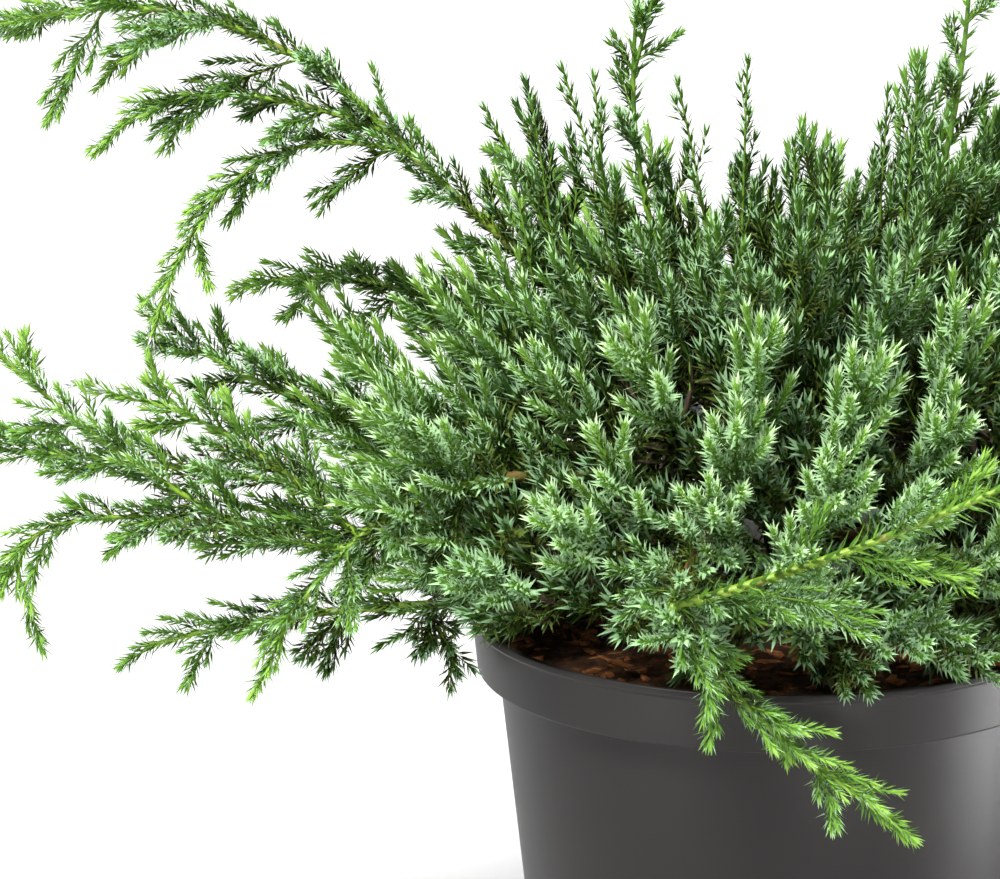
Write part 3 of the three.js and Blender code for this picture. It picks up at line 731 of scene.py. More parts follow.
def stem_radius(height):
    share = (height - STEM_FOOT) / (STEM_TOP - STEM_FOOT)
    flare = (STEM_FLARE_RADIUS - STEM_RADIUS) * math.exp(-share * STEM_FLARE_FADES)
    return between(STEM_RADIUS, STEM_TOP_RADIUS, share) + flare


def leader_curve(leader, foot):
    out = towards(leader.heading)
    base = Vector((foot.x, foot.y, RIM))
    return (foot, base + out * leader.crest_out + UP * leader.crest,
            base + out * leader.reach + UP * leader.tip)


# %% [markdown]
# The crown's outline is a cushion: fuller at the shoulders than an ellipsoid, and higher to
# the right. `crown_point` gives the point at a share of the cushion's reach in some
# direction, and `crown_share` is the way back.

# %% The crown's outline and the places of its masses
CROWN_CENTRE = Vector((4, 6, RIM + 5))
CROWN_HALVES = (176, 146, 148)
SQUARENESS = 3
RIGHT_RISE = 0.3
CORE_OUT = 0.74
CORE_IN = 0.5
CROWN_FLOOR = RIM + 8
SITE_RINGS = (("low", 6, 12, 270), ("mid", 4, 46, 235), ("top", 1, 88, 0))


def crown_reach(way):
    total = sum(abs(part / side) ** SQUARENESS for part, side in zip(way, CROWN_HALVES))
    return total ** (-1 / SQUARENESS)


def crown_point(way, share):
    point = way * (crown_reach(way) * share)
    point.z += RIGHT_RISE * max(0, way.z) ** 2 * max(0, point.x)
    return point + CROWN_CENTRE


def crown_share(point):
    arm = point - CROWN_CENTRE
    return arm.length / crown_reach(arm.normalized())


sites = {}
for name, count, elevation, heading in SITE_RINGS:
    for number in range(count):
        turned_to = heading + 360 / count * number
        sites[f"{name}_{number + 1}" if count > 1 else name] = (
            turned_to % 360, towards(turned_to, elevation))
print("crown masses:", ", ".join(sites))

# %% [markdown]
# Limbs that run high leave the stem high, and no two leave it at the same spot. So from the
# highest limb to the lowest each foot slides down the stem until it is clear of the others.

# %% Find where each bough leaves the stem
FOOT_SPACING = 7.8
NEAR_STEM = 50
STEEPEST = 0.5


def site_curve(way, foot):
    tip = crown_point(way, (CORE_IN + CORE_OUT) / 2)
    return foot, (foot + tip) / 2, tip


def height_at(curve, out):
    """A curve's height where it has come a certain way out from the stem."""
    for step in range(100):
        point = on(curve, step / 100)
        if hypot(point.x, point.y) > out:
            return point.z
    return curve[2].z


half_stem = stem_point((STEM_FOOT + STEM_TOP) / 2)
boughs = [(one.name, one.heading, lambda foot, one=one: leader_curve(one, foot))
          for one in LEADERS if not one.parent]
boughs += [(f"crown_{name}", heading, lambda foot, way=way: site_curve(way, foot))
           for name, (heading, way) in sites.items() if name != "top"]
boughs.sort(key=lambda bough: -height_at(bough[2](half_stem), NEAR_STEM))
feet = {}
curves = {}
for name, heading, curve_from in boughs:
    start = slope(curve_from(half_stem), 0)
    flatness = max(STEEPEST, hypot(start.x, start.y) / start.length)
    height = STEM_TOP - STEM_BARE
    while any(hypot(radians(abs((heading - other + 540) % 360 - 180)) * stem_radius(height),
                    (height - at) * flatness) < FOOT_SPACING
              for other, at in feet.values()):
        height -= 0.5
    feet[name] = (heading, height)
    curves[name] = curve_from(stem_point(height))

for leader in LEADERS:
    if leader.parent:
        curves[leader.name] = leader_curve(leader, on(curves[leader.parent], leader.at))
curves["crown_top"] = site_curve(sites["top"][1], stem_point(STEM_TOP))
print(len(curves), "limbs, feet from", round(min(height for _, height in feet.values()) - RIM),
      "to", STEM_TOP - STEM_BARE - RIM, "mm over the rim")


# %% [markdown]
# ## Strands
#
# Every limb, twig and shoot is first a strand: a line of points with a radius and what it
# carries. So the whole plant is laid out before any of its surface is made. `strand_object`
# puts many strands into one mesh of edges, with their values as attributes for the trees.


# %% Hold strands, and put them into a mesh
@dataclass
class Strand:
    """A stem and its needles. A row of values is spread evenly from its foot to its tip."""
    points: list
    radius: tuple
    tone: int = 0               # which green its needles have
    vigour: float = 1           # how long its needles are, against the usual
    spacing: float = 1.25       # from one whorl of needles to the next, mm
    bare: float = 0             # share from the foot that carries no needles
    closes: float = 0.1         # share past which its whorls begin to close
    age: tuple = (0,)           # 1 is old brown bark, 0 is this summer's green


def sampled(curve, count, begin=0.0, end=1.0):
    return [on(curve, between(begin, end, step / (count - 1))) for step in range(count)]


def strand_object(name, strands):
    """An object whose mesh is these strands as lines, with their values as attributes."""
    points, edges = [], []
    values = {key: [] for key in ("radius", "tone", "vigour", "spacing", "bare", "closes", "age")}
    for strand in strands:
        count = len(strand.points)
        edges += [(len(points) + step, len(points) + step + 1) for step in range(count - 1)]
        points += strand.points
        for key in values:
            row = np.atleast_1d(getattr(strand, key))
            values[key] += list(np.interp(np.linspace(0, 1, count),
                                          np.linspace(0, 1, len(row)), row))
    thing = mesh_object(name, points, edges=edges)
    for key, row in values.items():
        attribute = thing.data.attributes.new(key, "FLOAT", "POINT")
        scale = MM if key in ("radius", "spacing") else 1
        attribute.data.foreach_set("value", (np.array(row) * scale).astype(np.float32))
    return thing


# %% [markdown]
# ## Wood from strands
#
# One tree makes all the wood. A circle is swept along each strand, as wide as its radius,
# and the skin is pushed in and out by noise that is stretched along the limb, because
# juniper bark comes off in long thin strips. For that, how far along and how far round the
# limb a point is are stored as the circle is swept, and the bark's colours read the same
# attributes later. Twigs take this tree with three sides and no relief.


# %% Build the tree for wood
def strip_noise(tree, width, length, **inputs):
    """Noise stretched along each limb, from the attributes of strand and sweep."""
    angle = tree.maths("MULTIPLY", tree.field("around"), 2 * pi)
    girth = tree.maths("DIVIDE", tree.field("radius"), width)
    spot = tree.CombineXYZ(X=tree.maths("MULTIPLY", tree.maths("COSINE", angle), girth),
                           Y=tree.maths("MULTIPLY", tree.maths("SINE", angle), girth),
                           Z=tree.maths("DIVIDE", tree.field("along"), length))
    return tree.TexNoise(Vector=spot, Scale=1.0, **inputs)


wood, given = new_tree("barked_wood", Step=0.002, Sides=12, Strip_width=0.001,
                       Strip_length=0.012, Relief=0.0004)
line = wood.evenly(given["Geometry"], given["Step"])
marked = wood.StoreNamedAttribute(Geometry=line, Name="along",
                                  Value=wood.SplineParameter().outputs["Length"])
hoop = wood.CurvePrimitiveCircle(mode="RADIUS", Resolution=given["Sides"], Radius=1.0)
marked_hoop = wood.StoreNamedAttribute(Geometry=hoop, Name="around",
                                       Value=wood.SplineParameter().outputs["Factor"])
swept = wood.CurveToMesh(Curve=marked, Profile_Curve=marked_hoop, Scale=wood.field("radius"),
                         Fill_Caps=True)
strips = strip_noise(wood, given["Strip width"], given["Strip length"], Detail=3.0,
                     Roughness=0.6)
depth = wood.maths("MULTIPLY", wood.maths("SUBTRACT", strips, 0.5), given["Relief"])
push = wood.VectorMath(operation="SCALE", Vector=wood.InputNormal(), Scale=depth)
barked = wood.SetPosition(Geometry=swept, Offset=push)
wood.NodeGroupOutput(Geometry=barked)
print("wood tree:", len(wood.data.nodes), "nodes")

# %% [markdown]
# ## Stem and boughs
#
# The stem flares where it meets the soil. The boughs inside the crown are as old as it is:
# brown, with bark that flakes in strips. The leaders are younger wood, whose smooth skin goes
# from orange-brown near the crown to yellow-green at the tip.

# %% Grow the stem and the boughs
BOUGH_RADII = (2.8, 1.6)
CROWN_BOUGH_RADII = (2.6, 1.4)


def leaves_core(curve):
    """The share of a limb's curve at which it has come out of the crown's core."""
    share = 0
    while share < 1 and crown_share(on(curve, share)) < CORE_OUT:
        share += 0.01
    return share


stem_heights = [between(STEM_FOOT - 3, STEM_TOP, (step / 30) ** 1.5) for step in range(31)]
old_wood = [Strand([stem_point(height) for height in stem_heights],
                   [stem_radius(height) for height in stem_heights])]
old_wood += [Strand(sampled(curves[f"crown_{name}"], 10), CROWN_BOUGH_RADII)
             for name in sites]

young_wood, shoot_starts = [], {}
for leader in LEADERS:
    curve = curves[leader.name]
    start = 0
    if not leader.parent:
        start = leaves_core(curve) if leader.sprays else 1
        young_wood.append(Strand(sampled(curve, 12, 0, start), BOUGH_RADII, age=(1, 0.7, 0.1)))
    shoot_starts[leader.name] = start
    if leader.sprays:
        young_wood.append(Strand(sampled(curve, 24, start, 1), leader.radii, age=leader.age))
print(len(old_wood), "strands of old wood,", len(young_wood), "of young wood")

# %% Turn them into wood
old_piece = grown(strand_object("stem_and_crown_boughs", old_wood), wood, Step=2 * MM,
                  Sides=18, Strip_width=0.9 * MM, Strip_length=14 * MM, Relief=0.9 * MM)
young_piece = grown(strand_object("leader_boughs", young_wood), wood, Step=2.5 * MM,
                    Sides=8, Strip_width=0.7 * MM, Strip_length=9 * MM, Relief=0.25 * MM)
print(len(old_piece.data.polygons), "and", len(young_piece.data.polygons), "faces of wood")

# %% [markdown]
# Juniper bark is a dull red-brown that weathers to grey. Young wood is a green skin that
# dries to orange-brown from the crown outwards. Both read the attributes of strand and
# sweep, because a pattern on plain coordinates would cut across the limbs.


# %% Finish the wood
old_bark, tree, shader = finish("flaking_juniper_bark", Roughness=0.85)
strips = strip_noise(tree, 1.2 * MM, 14 * MM, Detail=5.0, Roughness=0.65)
coloured(tree, shader, strips,
         (0.3, "#241811"), (0.48, "#4a3324"), (0.6, "#684a34"), (0.74, "#8a7660"))
relief(tree, shader, strips, 0.5)
old_piece.data.shade_smooth()
belongs(old_piece, ["stem"] + [f"bough_crown_{name}" for name in sites if name != "top"],
        "stem_bark", old_bark)

young_bark, tree, shader = finish("young_juniper_bark", Roughness=0.5)
streaks = strip_noise(tree, 0.8 * MM, 9 * MM, Detail=3.0)
years = tree.maths("MULTIPLY", tree.field("age"), 0.7)
coloured(tree, shader, tree.maths("MULTIPLY_ADD", streaks, 0.8, years), (0.16, "#3c611e"),
         (0.3, "#668f27"), (0.43, "#82a328"), (0.6, "#7f6c38"), (0.78, "#6b4e2e"),
         (1, "#33251a"))
relief(tree, shader, streaks, 0.2)
young_piece.data.shade_smooth()
belongs(young_piece, [name for name in NODES
                      if name.startswith("bough_") and not name.startswith("bough_crown")],
        "young_bark", young_bark)

# %% [markdown]
# ## Plumes and sprays
#
# The CAD model's spray is, on the plant, a plume: a shoot whose side shoots leave it at
# forty-odd degrees and then bend forward, so that all tips point the same way. Limbs and
# twigs are also clothed in short shoots that stand straight on their upper side.

# %% Say how a plume grows
PLUME_RADII = (0.7, 0.4)
SIDE_RADII = (0.4, 0.25)
SIDES_STAND = (0.08, 0.86)      # the shares of a shoot between which its side shoots leave
SIDE_OUT = 0.48                 # the share of a side shoot up to its bend
SIDE_ON = 0.52                  # and past it
STILL_OUT = 0.35                # how far it still points outward there
UPPER_SIDE = 125                # degrees to either side of a limb's top that bear short shoots


def plume(root, tip, turn, sides, salt, reach=(0.52, 0.26), spread=(34, 50), sag=0.0, **carries):
    """A shoot from root to tip with its side shoots, as strands; the first is the shoot."""
    length = (tip - root).length
    curve = (root, (root + tip) / 2 + UP * (sag * length), tip)
    strands = [Strand(sampled(curve, 7), PLUME_RADII, bare=0.1, **carries)]
    for number in range(sides):
        share = between(*SIDES_STAND, (number + within((0.2, 0.8), number, salt)) / sides)
        start = on(curve, share)
        forward = slope(curve, share).normalized()
        spin = turn + radians(GOLDEN_ANGLE * number + within((-25, 25), number, salt + 1))
        out = aside(forward, spin, radians(within(spread, number, salt + 2)))
        along = length * between(*reach, share) * within((0.75, 1.12), number, salt + 3)
        bend = start + out * (along * SIDE_OUT)
        side = (start, bend, bend + (out * STILL_OUT + forward).normalized() * (along * SIDE_ON))
        strands.append(Strand(sampled(side, 5), SIDE_RADII, bare=0.1, **carries))
    return strands


def clothed(curve, begin, end, every, lengths, spread, salt, **carries):
    """Short shoots on the upper side of a part of a limb, leaning forward; every is in mm."""
    path = sampled(curve, 12, begin, end)
    run = sum((after - before).length for before, after in zip(path, path[1:]))
    shoots = []
    for number in range(int(run / every)):
        share = between(begin, end, (number + chance(number, salt)) * every / run)
        forward = slope(curve, share).normalized()
        turn = 90 + UPPER_SIDE * (2 * (number * GOLDEN_ANGLE / 360 % 1) - 1)
        way = aside(forward, radians(turn), radians(within(spread, number, salt + 1)))
        length = within(lengths, number, salt + 2)
        start = on(curve, share)
        middle = start + way * (0.65 * length) - forward * (0.15 * length)
        shoots.append(Strand([start, middle, start + way * length], SIDE_RADII, bare=0.05,
                             **carries))
    return shoots


# %% [markdown]
# The crown's plumes are spread over the cushion by the golden angle, which keeps them even
# without a grid, and reach for the light as they go. They stand where the CAD model's sprays
# do: shorter in the skirt, and none low in front, so that the soil shows there. Each hangs on
# its bough by a twig, whose shoots have the darkest green, a painted shade. Of the greens,
# darker ones fall to the foot and the top of the crown, a painted shade, and fresher ones
# between. Behind stands a layer of plumes in the darkest green, a painted shade, where the
# CAD model's core is solid.

# %% Say where the crown's plumes stand
CROWN_SPRAYS = 160
CROWN_ELEVATIONS = (-8, 88)
FRONT_EDGES = (10, 0)           # where the sprays begin in front, left and right
LEFT_EDGE = 3
INNER_EDGE = 4                  # lowest of the inner plumes in front
IN_FRONT, IN_LEFT = -0.55, -0.6
SKIRT = 0.86
SKIRT_TOP = 22
ROOT_RISE = 6
LIFT = 0.42
STRAY = 0.14
RAGGEDNESS = (0.9, 1.06)
TALL_SHARE = 0.06
TALL_BY = 1.15
CROWN_LENGTH = (50, 66)
CROWN_SIDES = (11, 6)           # side shoots of a plume, and of one where the crown is thin
INNER_PLUMES = 170
INNER_REACH = (0.68, 0.8)
INNER_LENGTH = (30, 42)
INNER_SIDES = (9, 4)
THIN_LEFT, THIN_ABOVE = -0.15, 32
SHADE, BLUE, GREEN, FRESH = range(4)
# The greens by height are painted shade: darker at the crown's foot and top.
PALEST_AT = 0.52                # the height, as a share, at which pale greens are likeliest
PALE_WITHIN = 0.38
PALE_BY = 1.9


def crown_tone(rise, number):
    """Crown plume's green: paler likeliest at middle height, painted shade at foot and top."""
    luck = chance(number, 31) + PALE_BY * (1 - abs(rise - PALEST_AT) / PALE_WITHIN)
    return SHADE if luck < 0.3 else BLUE if luck < 0.7 else GREEN if luck < 1.1 else FRESH


def thinner(way, elevation):
    """Up on the left the sky shows between the shoots."""
    return way.x < THIN_LEFT and elevation > THIN_ABOVE


def skirt_reach(elevation):
    share = (elevation - CROWN_ELEVATIONS[0]) / (SKIRT_TOP - CROWN_ELEVATIONS[0])
    return between(SKIRT, 1, min(1, share))


def is_bare(way, elevation):
    front_edge = FRONT_EDGES[0 if way.x < 0.1 else 1]
    return (way.y < IN_FRONT and elevation < front_edge
            or way.x < IN_LEFT and elevation < LEFT_EDGE)


def mass_at(way):
    return max(sites, key=lambda name: sites[name][1].dot(way))


def hang(site, root, growth, number, every):
    """A twig from the site's bough to a plume's root, with painted-shade shoots every so many mm."""
    leaves = on(curves[f"crown_{site}"], within((0.5, 0.98), number, 33))
    twig = (leaves, root - growth * (0.4 * (root - leaves).length), root)
    crown_twigs[site].append(Strand(sampled(twig, 8), (1.3, 0.9), age=(1,)))
    crown_shoots[site].append(Strand(sampled(twig, 6, 0.4, 1), (0.5, 0.5), tone=SHADE,
                                     spacing=2.6))
    crown_shoots[site] += clothed(twig, 0.4, 0.98, every, (16, 28), (35, 60), 2000 + number,
                                  tone=SHADE, vigour=1.4, spacing=2)


def stand(way, tip, growth, length, number, turn, sides, salt, every, **carries):
    """A crown plume that grows a certain way to its tip, and the twig that holds it."""
    root = tip - growth * length
    root.z = max(root.z, CROWN_FLOOR + ROOT_RISE)
    site = mass_at(way)
    crown_shoots[site] += plume(root, tip, turn, sides, salt, **carries)
    hang(site, root, growth, number, every)


# %% Grow the crown's plumes
crown_shoots = {name: [] for name in sites}
crown_twigs = {name: [] for name in sites}
low, high = (sin(radians(elevation)) for elevation in CROWN_ELEVATIONS)
for number in range(CROWN_SPRAYS):
    rise = between(low, high, (number + 0.5) / CROWN_SPRAYS)
    heading = number * GOLDEN_ANGLE + within((-5, 5), number, 11)
    elevation = math.degrees(math.asin(rise))
    way = towards(heading, elevation)
    if is_bare(way, elevation):
        continue
    tall = TALL_BY if chance(number, 16) < TALL_SHARE else 1
    tip = crown_point(way, tall * skirt_reach(elevation) * within(RAGGEDNESS, number, 12))
    growth = (way + UP * (LIFT * between(0.4, 1, rise))
              + towards(360 * chance(number, 13)) * STRAY).normalized()
    stand(way, tip, growth, tall * within(CROWN_LENGTH, number, 14), number,
          2 * pi * chance(number, 15), CROWN_SIDES[thinner(way, elevation)],
          100 + 5 * number, 9, sag=-0.05, tone=crown_tone(rise, number),
          vigour=within((0.9, 1.1), number, 32))

# The inner layer's needles take the darkest green, a painted shade.
for number in range(INNER_PLUMES):
    rise = between(-0.06, high, (number + 0.5) / INNER_PLUMES)
    elevation = math.degrees(math.asin(rise))
    way = towards((number + 0.5) * GOLDEN_ANGLE + 40, elevation)
    if way.y < IN_FRONT and elevation < INNER_EDGE:
        continue
    stand(way, crown_point(way, within(INNER_REACH, number, 51)), (way + UP * LIFT).normalized(),
          within(INNER_LENGTH, number, 52), 400 + number, 6 * chance(number, 53),
          INNER_SIDES[thinner(way, elevation)], 1200 + 5 * number, 18, spread=(38, 56),
          tone=SHADE, vigour=1.35, spacing=1.9)

# Shoots on the leaders' boughs inside the crown take dark greens, a painted shade.
for salt, leader in enumerate(leader for leader in LEADERS if not leader.parent):
    curve, begin = curves[leader.name], shoot_starts[leader.name]
    site = mass_at((on(curve, begin) - CROWN_CENTRE).normalized())
    for since, until, every, tone in ((0.35, 0.65, 5, SHADE), (0.65, 1, 2.8, BLUE)):
        crown_shoots[site] += clothed(curve, since * begin, until * begin, every, (17, 28),
                                      (38, 62), 2700 + 10 * salt, tone=tone, spacing=1.6)
print(sum(map(len, crown_shoots.values())), "shoots in the crown,",
      sum(map(len, crown_twigs.values())), "twigs")

# %% [markdown]
# A few shoots have outgrown the cushion and stand tall out of its top, at the places of the
# CAD model's. They are slim, and their whorls stand apart because they grew fast.

# %% Grow the tall shoots
RISERS = [                      # tip, with its height over the rim, and X and Y of the root
    ((-104, 10, 178), (-66, 10)), ((-88, 10, 180), (-76, 10)), ((-77, 20, 190), (-50, 20)),
    ((-66, 10, 189), (-58, 10)), ((-95, 0, 162), (-84, 0)), ((-36, 0, 190), (-18, 0)),
    ((-12, 10, 196), (-14, 14)), ((5, 20, 164), (6, 20)), ((18, 30, 157), (16, 30)),
    ((38, 25, 183), (34, 24)), ((48, 0, 193), (42, 0)),
]
RISER_ROOT = RIM + 98

for number, ((x, y, height), (root_x, root_y)) in enumerate(RISERS):
    root, tip = Vector((root_x, root_y, RISER_ROOT)), Vector((x, y, RIM + height))
    site = mass_at((root - CROWN_CENTRE).normalized())
    crown_shoots[site] += plume(root, tip, 6 * chance(number, 17), 6, 1800 + 5 * number,
                                reach=(0.24, 0.08), spread=(28, 44), sag=0.06, tone=BLUE,
                                vigour=0.95, spacing=2.6, closes=0.6)
    hang(site, root, UP, 600 + number, 40)
print(len(RISERS), "tall shoots")

# %% [markdown]
# A leader's sprays turn round its limb by the golden angle, lean forward, and get shorter
# towards the tip and on the upper side. Between them stand short shoots, except on the limbs
# that grew fastest, and needles clothe the limb itself. The greens get younger along the
# limb, and on a limb that branches off another they are younger still. The darker greens
# near the crown, and on the short shoots of the main leaders, are partly painted shade.

# %% Grow the leaders' sprays
SPREAD = (34, 50)
FALLS_OFF = 0.45
UPPER_SHORTER = 0.45
LAST_AT = 0.98
SIDE_SPACING = 4.5              # from one side shoot of a spray to the next, mm
SHORT_SPACING = 4.2             # from one short shoot to the next
SHORT_LENGTH = (10, 20)
SHORT_SPREAD = (24, 40)

leader_shoots = {}
for salt, leader in enumerate(leader for leader in LEADERS if leader.sprays):
    curve, begin = curves[leader.name], shoot_starts[leader.name]
    shoots = leader_shoots[leader.name] = []
    for number in range(leader.sprays):
        is_tip = number == leader.sprays - 1
        share = LAST_AT if is_tip else between(begin, 1, (number + 0.45) / leader.sprays)
        turn = radians(GOLDEN_ANGLE * (number + salt) + within((-20, 20), number, salt))
        spread = 0 if is_tip else radians(within(SPREAD, number, salt + 40))
        way = aside(slope(curve, share).normalized(), turn, spread)
        outward = 1 - FALLS_OFF * share
        shorter = 1 if is_tip else 1 - UPPER_SHORTER * max(0, sin(turn))
        length = leader.spray * outward * shorter * within((0.8, 1.1), number, salt + 60)
        root = on(curve, share)
        tip = root + way * length - UP * (leader.droop * outward)
        # Greens rise along the limb: young growth, and a dark start near the crown that is painted
        # shade.
        younger = 1.8 * (share - begin) / (1 - begin) + (1 if leader.parent else 0)
        shoots += plume(root, tip, turn, round(length / SIDE_SPACING), 300 + 20 * salt + number,
                        reach=(0.42, 0.24), spread=(28, 42), vigour=0.85, closes=0.3,
                        sag=0.25 * leader.droop * outward / length,
                        tone=round(within((-0.45, 1.1), number, salt + 80) + younger))

    scale = leader.radii[0] / SHOOT_RADII[0]
    middle = (begin + 1) / 2
    # Main leaders' short shoots take darker greens than their branches' do: painted shade.
    inner, outer = (BLUE, FRESH) if leader.parent else (SHADE, GREEN)
    for since, until, tone in ((begin, middle, inner), (middle, 0.97, outer)):
        if not leader.bald:
            shoots += clothed(curve, since, until, SHORT_SPACING,
                              [scale * size for size in SHORT_LENGTH], SHORT_SPREAD, salt + 90,
                              tone=tone, vigour=0.85)
    shoots.append(Strand(sampled(curve, 24, begin, 1), (1, 0.5), tone=FRESH,
                         spacing=leader.every, vigour=1.4 if leader.bald else 1,
                         closes=0.75 if leader.bald else -0.6))
print(sum(map(len, leader_shoots.values())), "shoots on", len(leader_shoots), "leaders")

# %% [markdown]
# Under the low limb on the left hang a few old sprigs in the darkest green, a painted
# shade of the crown above them.

# %% Hang the shaded sprigs
SPRIGS = [                      # share of the limb, and the tip with its height over the rim
    (0.5, (-112, -46, -12)), (0.49, (-125, -34, -8)), (0.63, (-161, -18, -17)),
]

for number, (share, (x, y, height)) in enumerate(SPRIGS):
    leader_shoots["left_low"] += plume(
        on(curves["left_low"], share), Vector((x, y, RIM + height)), 2 * number, 6,
        2300 + 9 * number, reach=(0.45, 0.3), tone=SHADE, spacing=1.6)
print(len(SPRIGS), "sprigs hang at the left")

# %% [markdown]
# ## Needles
#
# A juniper needle is a narrow blade with a sharp point, pale with wax on its flat upper side
# and keeled below. So a needle is a closed shape of four faces, of which one, from its widest
# place to its tip, is pale; the upper side's foot, where the whorl crowds it, keeps the
# keel's green as a painted shade. Three make a whorl. The whorls close along the shoot: low
# down their needles stand off by up to sixty degrees, near the tip by less than thirty. Six
# whorls are modelled, from open to closed, and a seventh, of six needles, is the bud that
# makes a shoot's end blunt.

# %% Model the whorls
NEEDLE_LENGTH = 6.7
NEEDLE_WIDTH = 1.2
WIDEST_AT = 0.36
WHORL_LEANS = (60, 51, 43, 37, 32, 28)
BUD_LEANS = (30, 15)


def add_needle(shape, pale, heading, lean, length, width):
    """One needle that leaves the shoot's axis (Z) at a heading, leaning out from it."""
    out = towards(heading)
    way = out * sin(lean) + UP * cos(lean)
    upper = UP * sin(lean) - out * cos(lean)
    across = way.cross(upper)
    foot = out * 0.3
    middle = foot + way * (WIDEST_AT * length) + upper * (0.3 * width)
    base, left, right, tip = (shape.verts.new(point * MM) for point in (
        foot, middle + across * (width / 2), middle - across * (width / 2),
        foot + way * length + upper * (0.07 * length)))
    # The upper face's foot takes the keel's green: a painted shade between crowded needles.
    for trio, is_pale in (((base, right, left), 0), ((left, right, tip), 1),
                          ((base, left, tip), 0), ((base, tip, right), 0)):
        shape.faces.new(trio)[pale] = is_pale


whorls = bpy.data.collections.new("needle_whorls")
for number, leans in enumerate([(lean,) for lean in WHORL_LEANS] + [BUD_LEANS]):
    shape = bmesh.new()
    pale = shape.faces.layers.int.new("pale")
    for needle in range(3 * len(leans)):
        key = 3 * number + needle
        add_needle(shape, pale, 120 * needle + 60 * (needle // 3) + within((-14, 14), key, 41),
                   radians(leans[needle // 3] + within((-6, 6), key, 42)),
                   NEEDLE_LENGTH * within((0.85, 1.12), key, 43), NEEDLE_WIDTH)
    bmesh.ops.recalc_face_normals(shape, faces=shape.faces[:])
    whorl_mesh = bpy.data.meshes.new(f"whorl_{number}")
    shape.to_mesh(whorl_mesh)
    shape.free()
    whorls.objects.link(bpy.data.objects.new(f"whorl_{number}", whorl_mesh))
print(len(whorls.objects), "whorls, the bud has", len(whorl_mesh.polygons), "faces")

# %% [markdown]
# ## Greens
#
# The needles' colour has a place, not a pattern: tips young and yellow-green, low ones
# bluish, which is partly their own colour and partly painted shade, and the darkest green is
# painted shade for the needles inside and under the crown. So each green is a plain colour,
# and whole shoots are dealt one, with the next younger green at their tips and the next green
# down at their feet, partly a painted shade. Every green is a pair, for the keel and the
# paler wax bands. Wax scatters light instead of mirroring it, so the needles reflect less
# than a smooth leaf would.

# %% Mix the greens
GREENS = {                      # keel, wax bands
    # the darkest green: painted shade, for needles inside and under the crown
    "shade": ("#29340f", "#55672a"),
    "blue": ("#426427", "#8fb386"),
    "green": ("#507727", "#9dc38c"),
    "fresh": ("#6b9736", "#b0d69f"),
    "young": ("#88b346", "#c6e4af"),
}
greens = [[finish(f"needle_{side}_{name}", Base_Color=linear(hex_colour), Roughness=0.55,
                  Specular_IOR_Level=0.18)[0]
           for side, hex_colour in zip(("keel", "wax_bands"), pair)]
          for name, pair in GREENS.items()]
print(len(greens), "greens:", ", ".join(GREENS))

# %% [markdown]
# The tree walks each strand at its own spacing and puts a whorl on each point. It picks the
# whorl, then its turn and size, then its green.

# %% Build the tree for needles
YOUNG_TIP = 0.76                # share of a shoot past which its needles are younger
# Needles at a shoot's foot take the next darker green: partly their age, partly painted shade.
OLD_AND_SHADED_BASE = 0.42                 # and up to which they are older

foliage, given = new_tree("whorled_needles", Young_past=YOUNG_TIP, Old_until=OLD_AND_SHADED_BASE, Seed=5)
points = foliage.evenly(given["Geometry"], foliage.field("spacing"))
along = foliage.SplineParameter().outputs["Factor"]
luck = foliage.drawn(-0.75, 0.75, given["Seed"])
closing = foliage.MapRange(Value=along, From_Min=foliage.field("closes"), From_Max=1.0,
                           To_Min=0.6, To_Max=5.6)
closed = foliage.maths("MAXIMUM", foliage.maths("ADD", closing, luck), 0.0)
whorl = foliage.maths("MINIMUM", closed, 5.0)
is_end = foliage.CurveEndpointSelection(Start_Size=0, End_Size=1)
choice = foliage.maths("MAXIMUM", whorl, foliage.maths("MULTIPLY", is_end, 6.0))
family = foliage.CollectionInfo(Collection=whorls, Separate_Children=True, Reset_Children=True)

upright = foliage.AlignRotationToVector(axis="Z", Vector=foliage.InputTangent())
order = foliage.maths("MULTIPLY", foliage.InputIndex(), pi / 3)
angle = foliage.maths("ADD", order, foliage.drawn(-0.25, 0.25, 17))
twist = foliage.AxisAngleToRotation(Axis=(0, 0, 1), Angle=angle)
facing = foliage.RotateRotation(rotation_space="LOCAL", Rotation=upright, Rotate_By=twist)
size = foliage.maths("MULTIPLY", foliage.drawn(0.85, 1.12, 23), foliage.field("vigour"))

past_bare = foliage.Compare(operation="GREATER_EQUAL", A=along, B=foliage.field("bare"))
ageing = foliage.maths("MULTIPLY_ADD", luck, 0.12, along)
younger = foliage.maths("GREATER_THAN", ageing, given["Young past"])
# a shoot's darker foot: age, and painted shade
older_and_shaded = foliage.maths("LESS_THAN", ageing, given["Old until"])
change = foliage.maths("SUBTRACT", younger, older_and_shaded)
tone_now = foliage.maths("ADD", foliage.field("tone"), change)
aged = foliage.StoreNamedAttribute(Geometry=points, Name="tone",
                                   Value=foliage.maths("MAXIMUM", tone_now, 0.0))
needles = foliage.copies(aged, family, Selection=past_bare, Pick_Instance=True,
                         Instance_Index=choice, Rotation=facing, Scale=size)

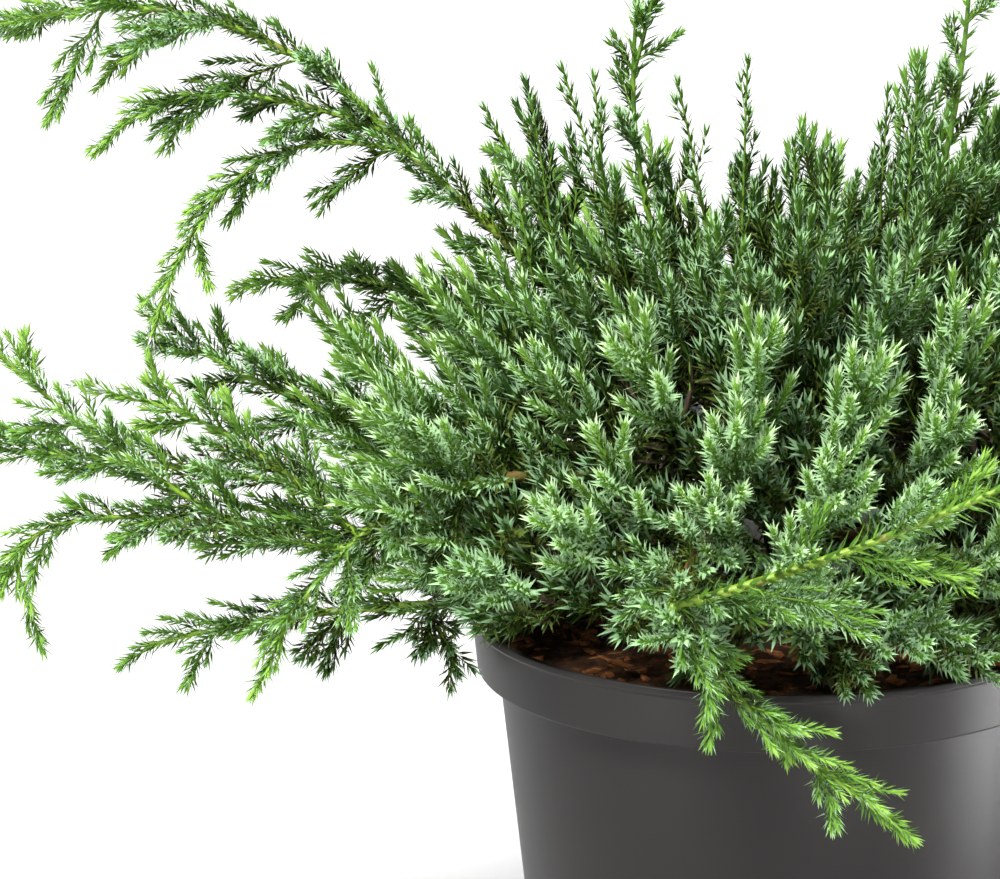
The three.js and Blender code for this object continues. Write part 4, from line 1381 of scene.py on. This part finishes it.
is_pale = foliage.Compare(operation="GREATER_THAN", A=foliage.field("pale"), B=0.5)
is_keel = foliage.BooleanMath(operation="NOT", Boolean=is_pale)
for tone, pair in enumerate(greens):
    is_tone = foliage.Compare(operation="EQUAL", A=foliage.field("tone"), B=float(tone),
                              Epsilon=0.4)
    for material, side in zip(pair, (is_keel, is_pale)):
        both = foliage.BooleanMath(operation="AND", Boolean=is_tone, Boolean_001=side)
        needles = foliage.SetMaterial(Geometry=needles, Selection=both, Material=material)
foliage.NodeGroupOutput(Geometry=needles)
print("needle tree:", len(foliage.data.nodes), "nodes")

# %% [markdown]
# The needles are joined into pieces by where they grow, each small enough to keep its full
# mesh when it is saved, and so are the twigs under them.

# %% Hang the needles, and make the twigs
twig_green, _, _ = finish("green_shoot_skin", Base_Color=linear("#6d942f"), Roughness=0.5)
twig_brown, _, _ = finish("brown_twig_skin", Base_Color=linear("#3d2c1e"), Roughness=0.8)

CROWN_PARTS = {
    "front": ("low_1", "low_2"), "right": ("low_6", "low_3"), "back": ("low_4", "low_5"),
    "left_shoulder": ("mid_1", "mid_4"), "right_shoulder": ("mid_2", "mid_3"), "top": ("top",),
}
LEADER_PARTS = {                # how the names of each part's leaders begin
    "left": ("arch_left", "arch_tip", "arch_side", "hanging", "left"),
    "front": "front", "right": ("upright", "arch_right", "right"), "back": "back",
}


def dress(part, names, shoots, twigs, prefix, slot):
    """Make one part's needles and twigs, as two pieces that replace the same CAD nodes."""
    nodes = [prefix + name for name in names]
    strands = [strand for name in names for strand in shoots[name]]
    belongs(grown(strand_object(f"needles_{part}", strands), foliage), nodes, slot)
    stems = strands + [strand for name in names for strand in twigs.get(name, ())]
    piece = grown(strand_object(f"twigs_{part}", stems), wood, Step=7 * MM, Sides=3, Relief=0.0)
    belongs(piece, nodes, slot, twig_green, twig_brown)
    ages = np.zeros(len(piece.data.vertices), dtype=np.float32)
    piece.data.attributes["age"].data.foreach_get("value", ages)
    for face in piece.data.polygons:
        face.material_index = int(ages[face.vertices[0]] > 0.5)


for part, names in CROWN_PARTS.items():
    dress(f"crown_{part}", names, crown_shoots, crown_twigs, "crown_", "crown_needles")
for part, starts in LEADER_PARTS.items():
    names = [name for name in leader_shoots if name.startswith(starts)]
    dress(f"leaders_{part}", names, leader_shoots, {}, "shoots_", "shoot_needles")

# %% Finish
low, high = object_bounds()
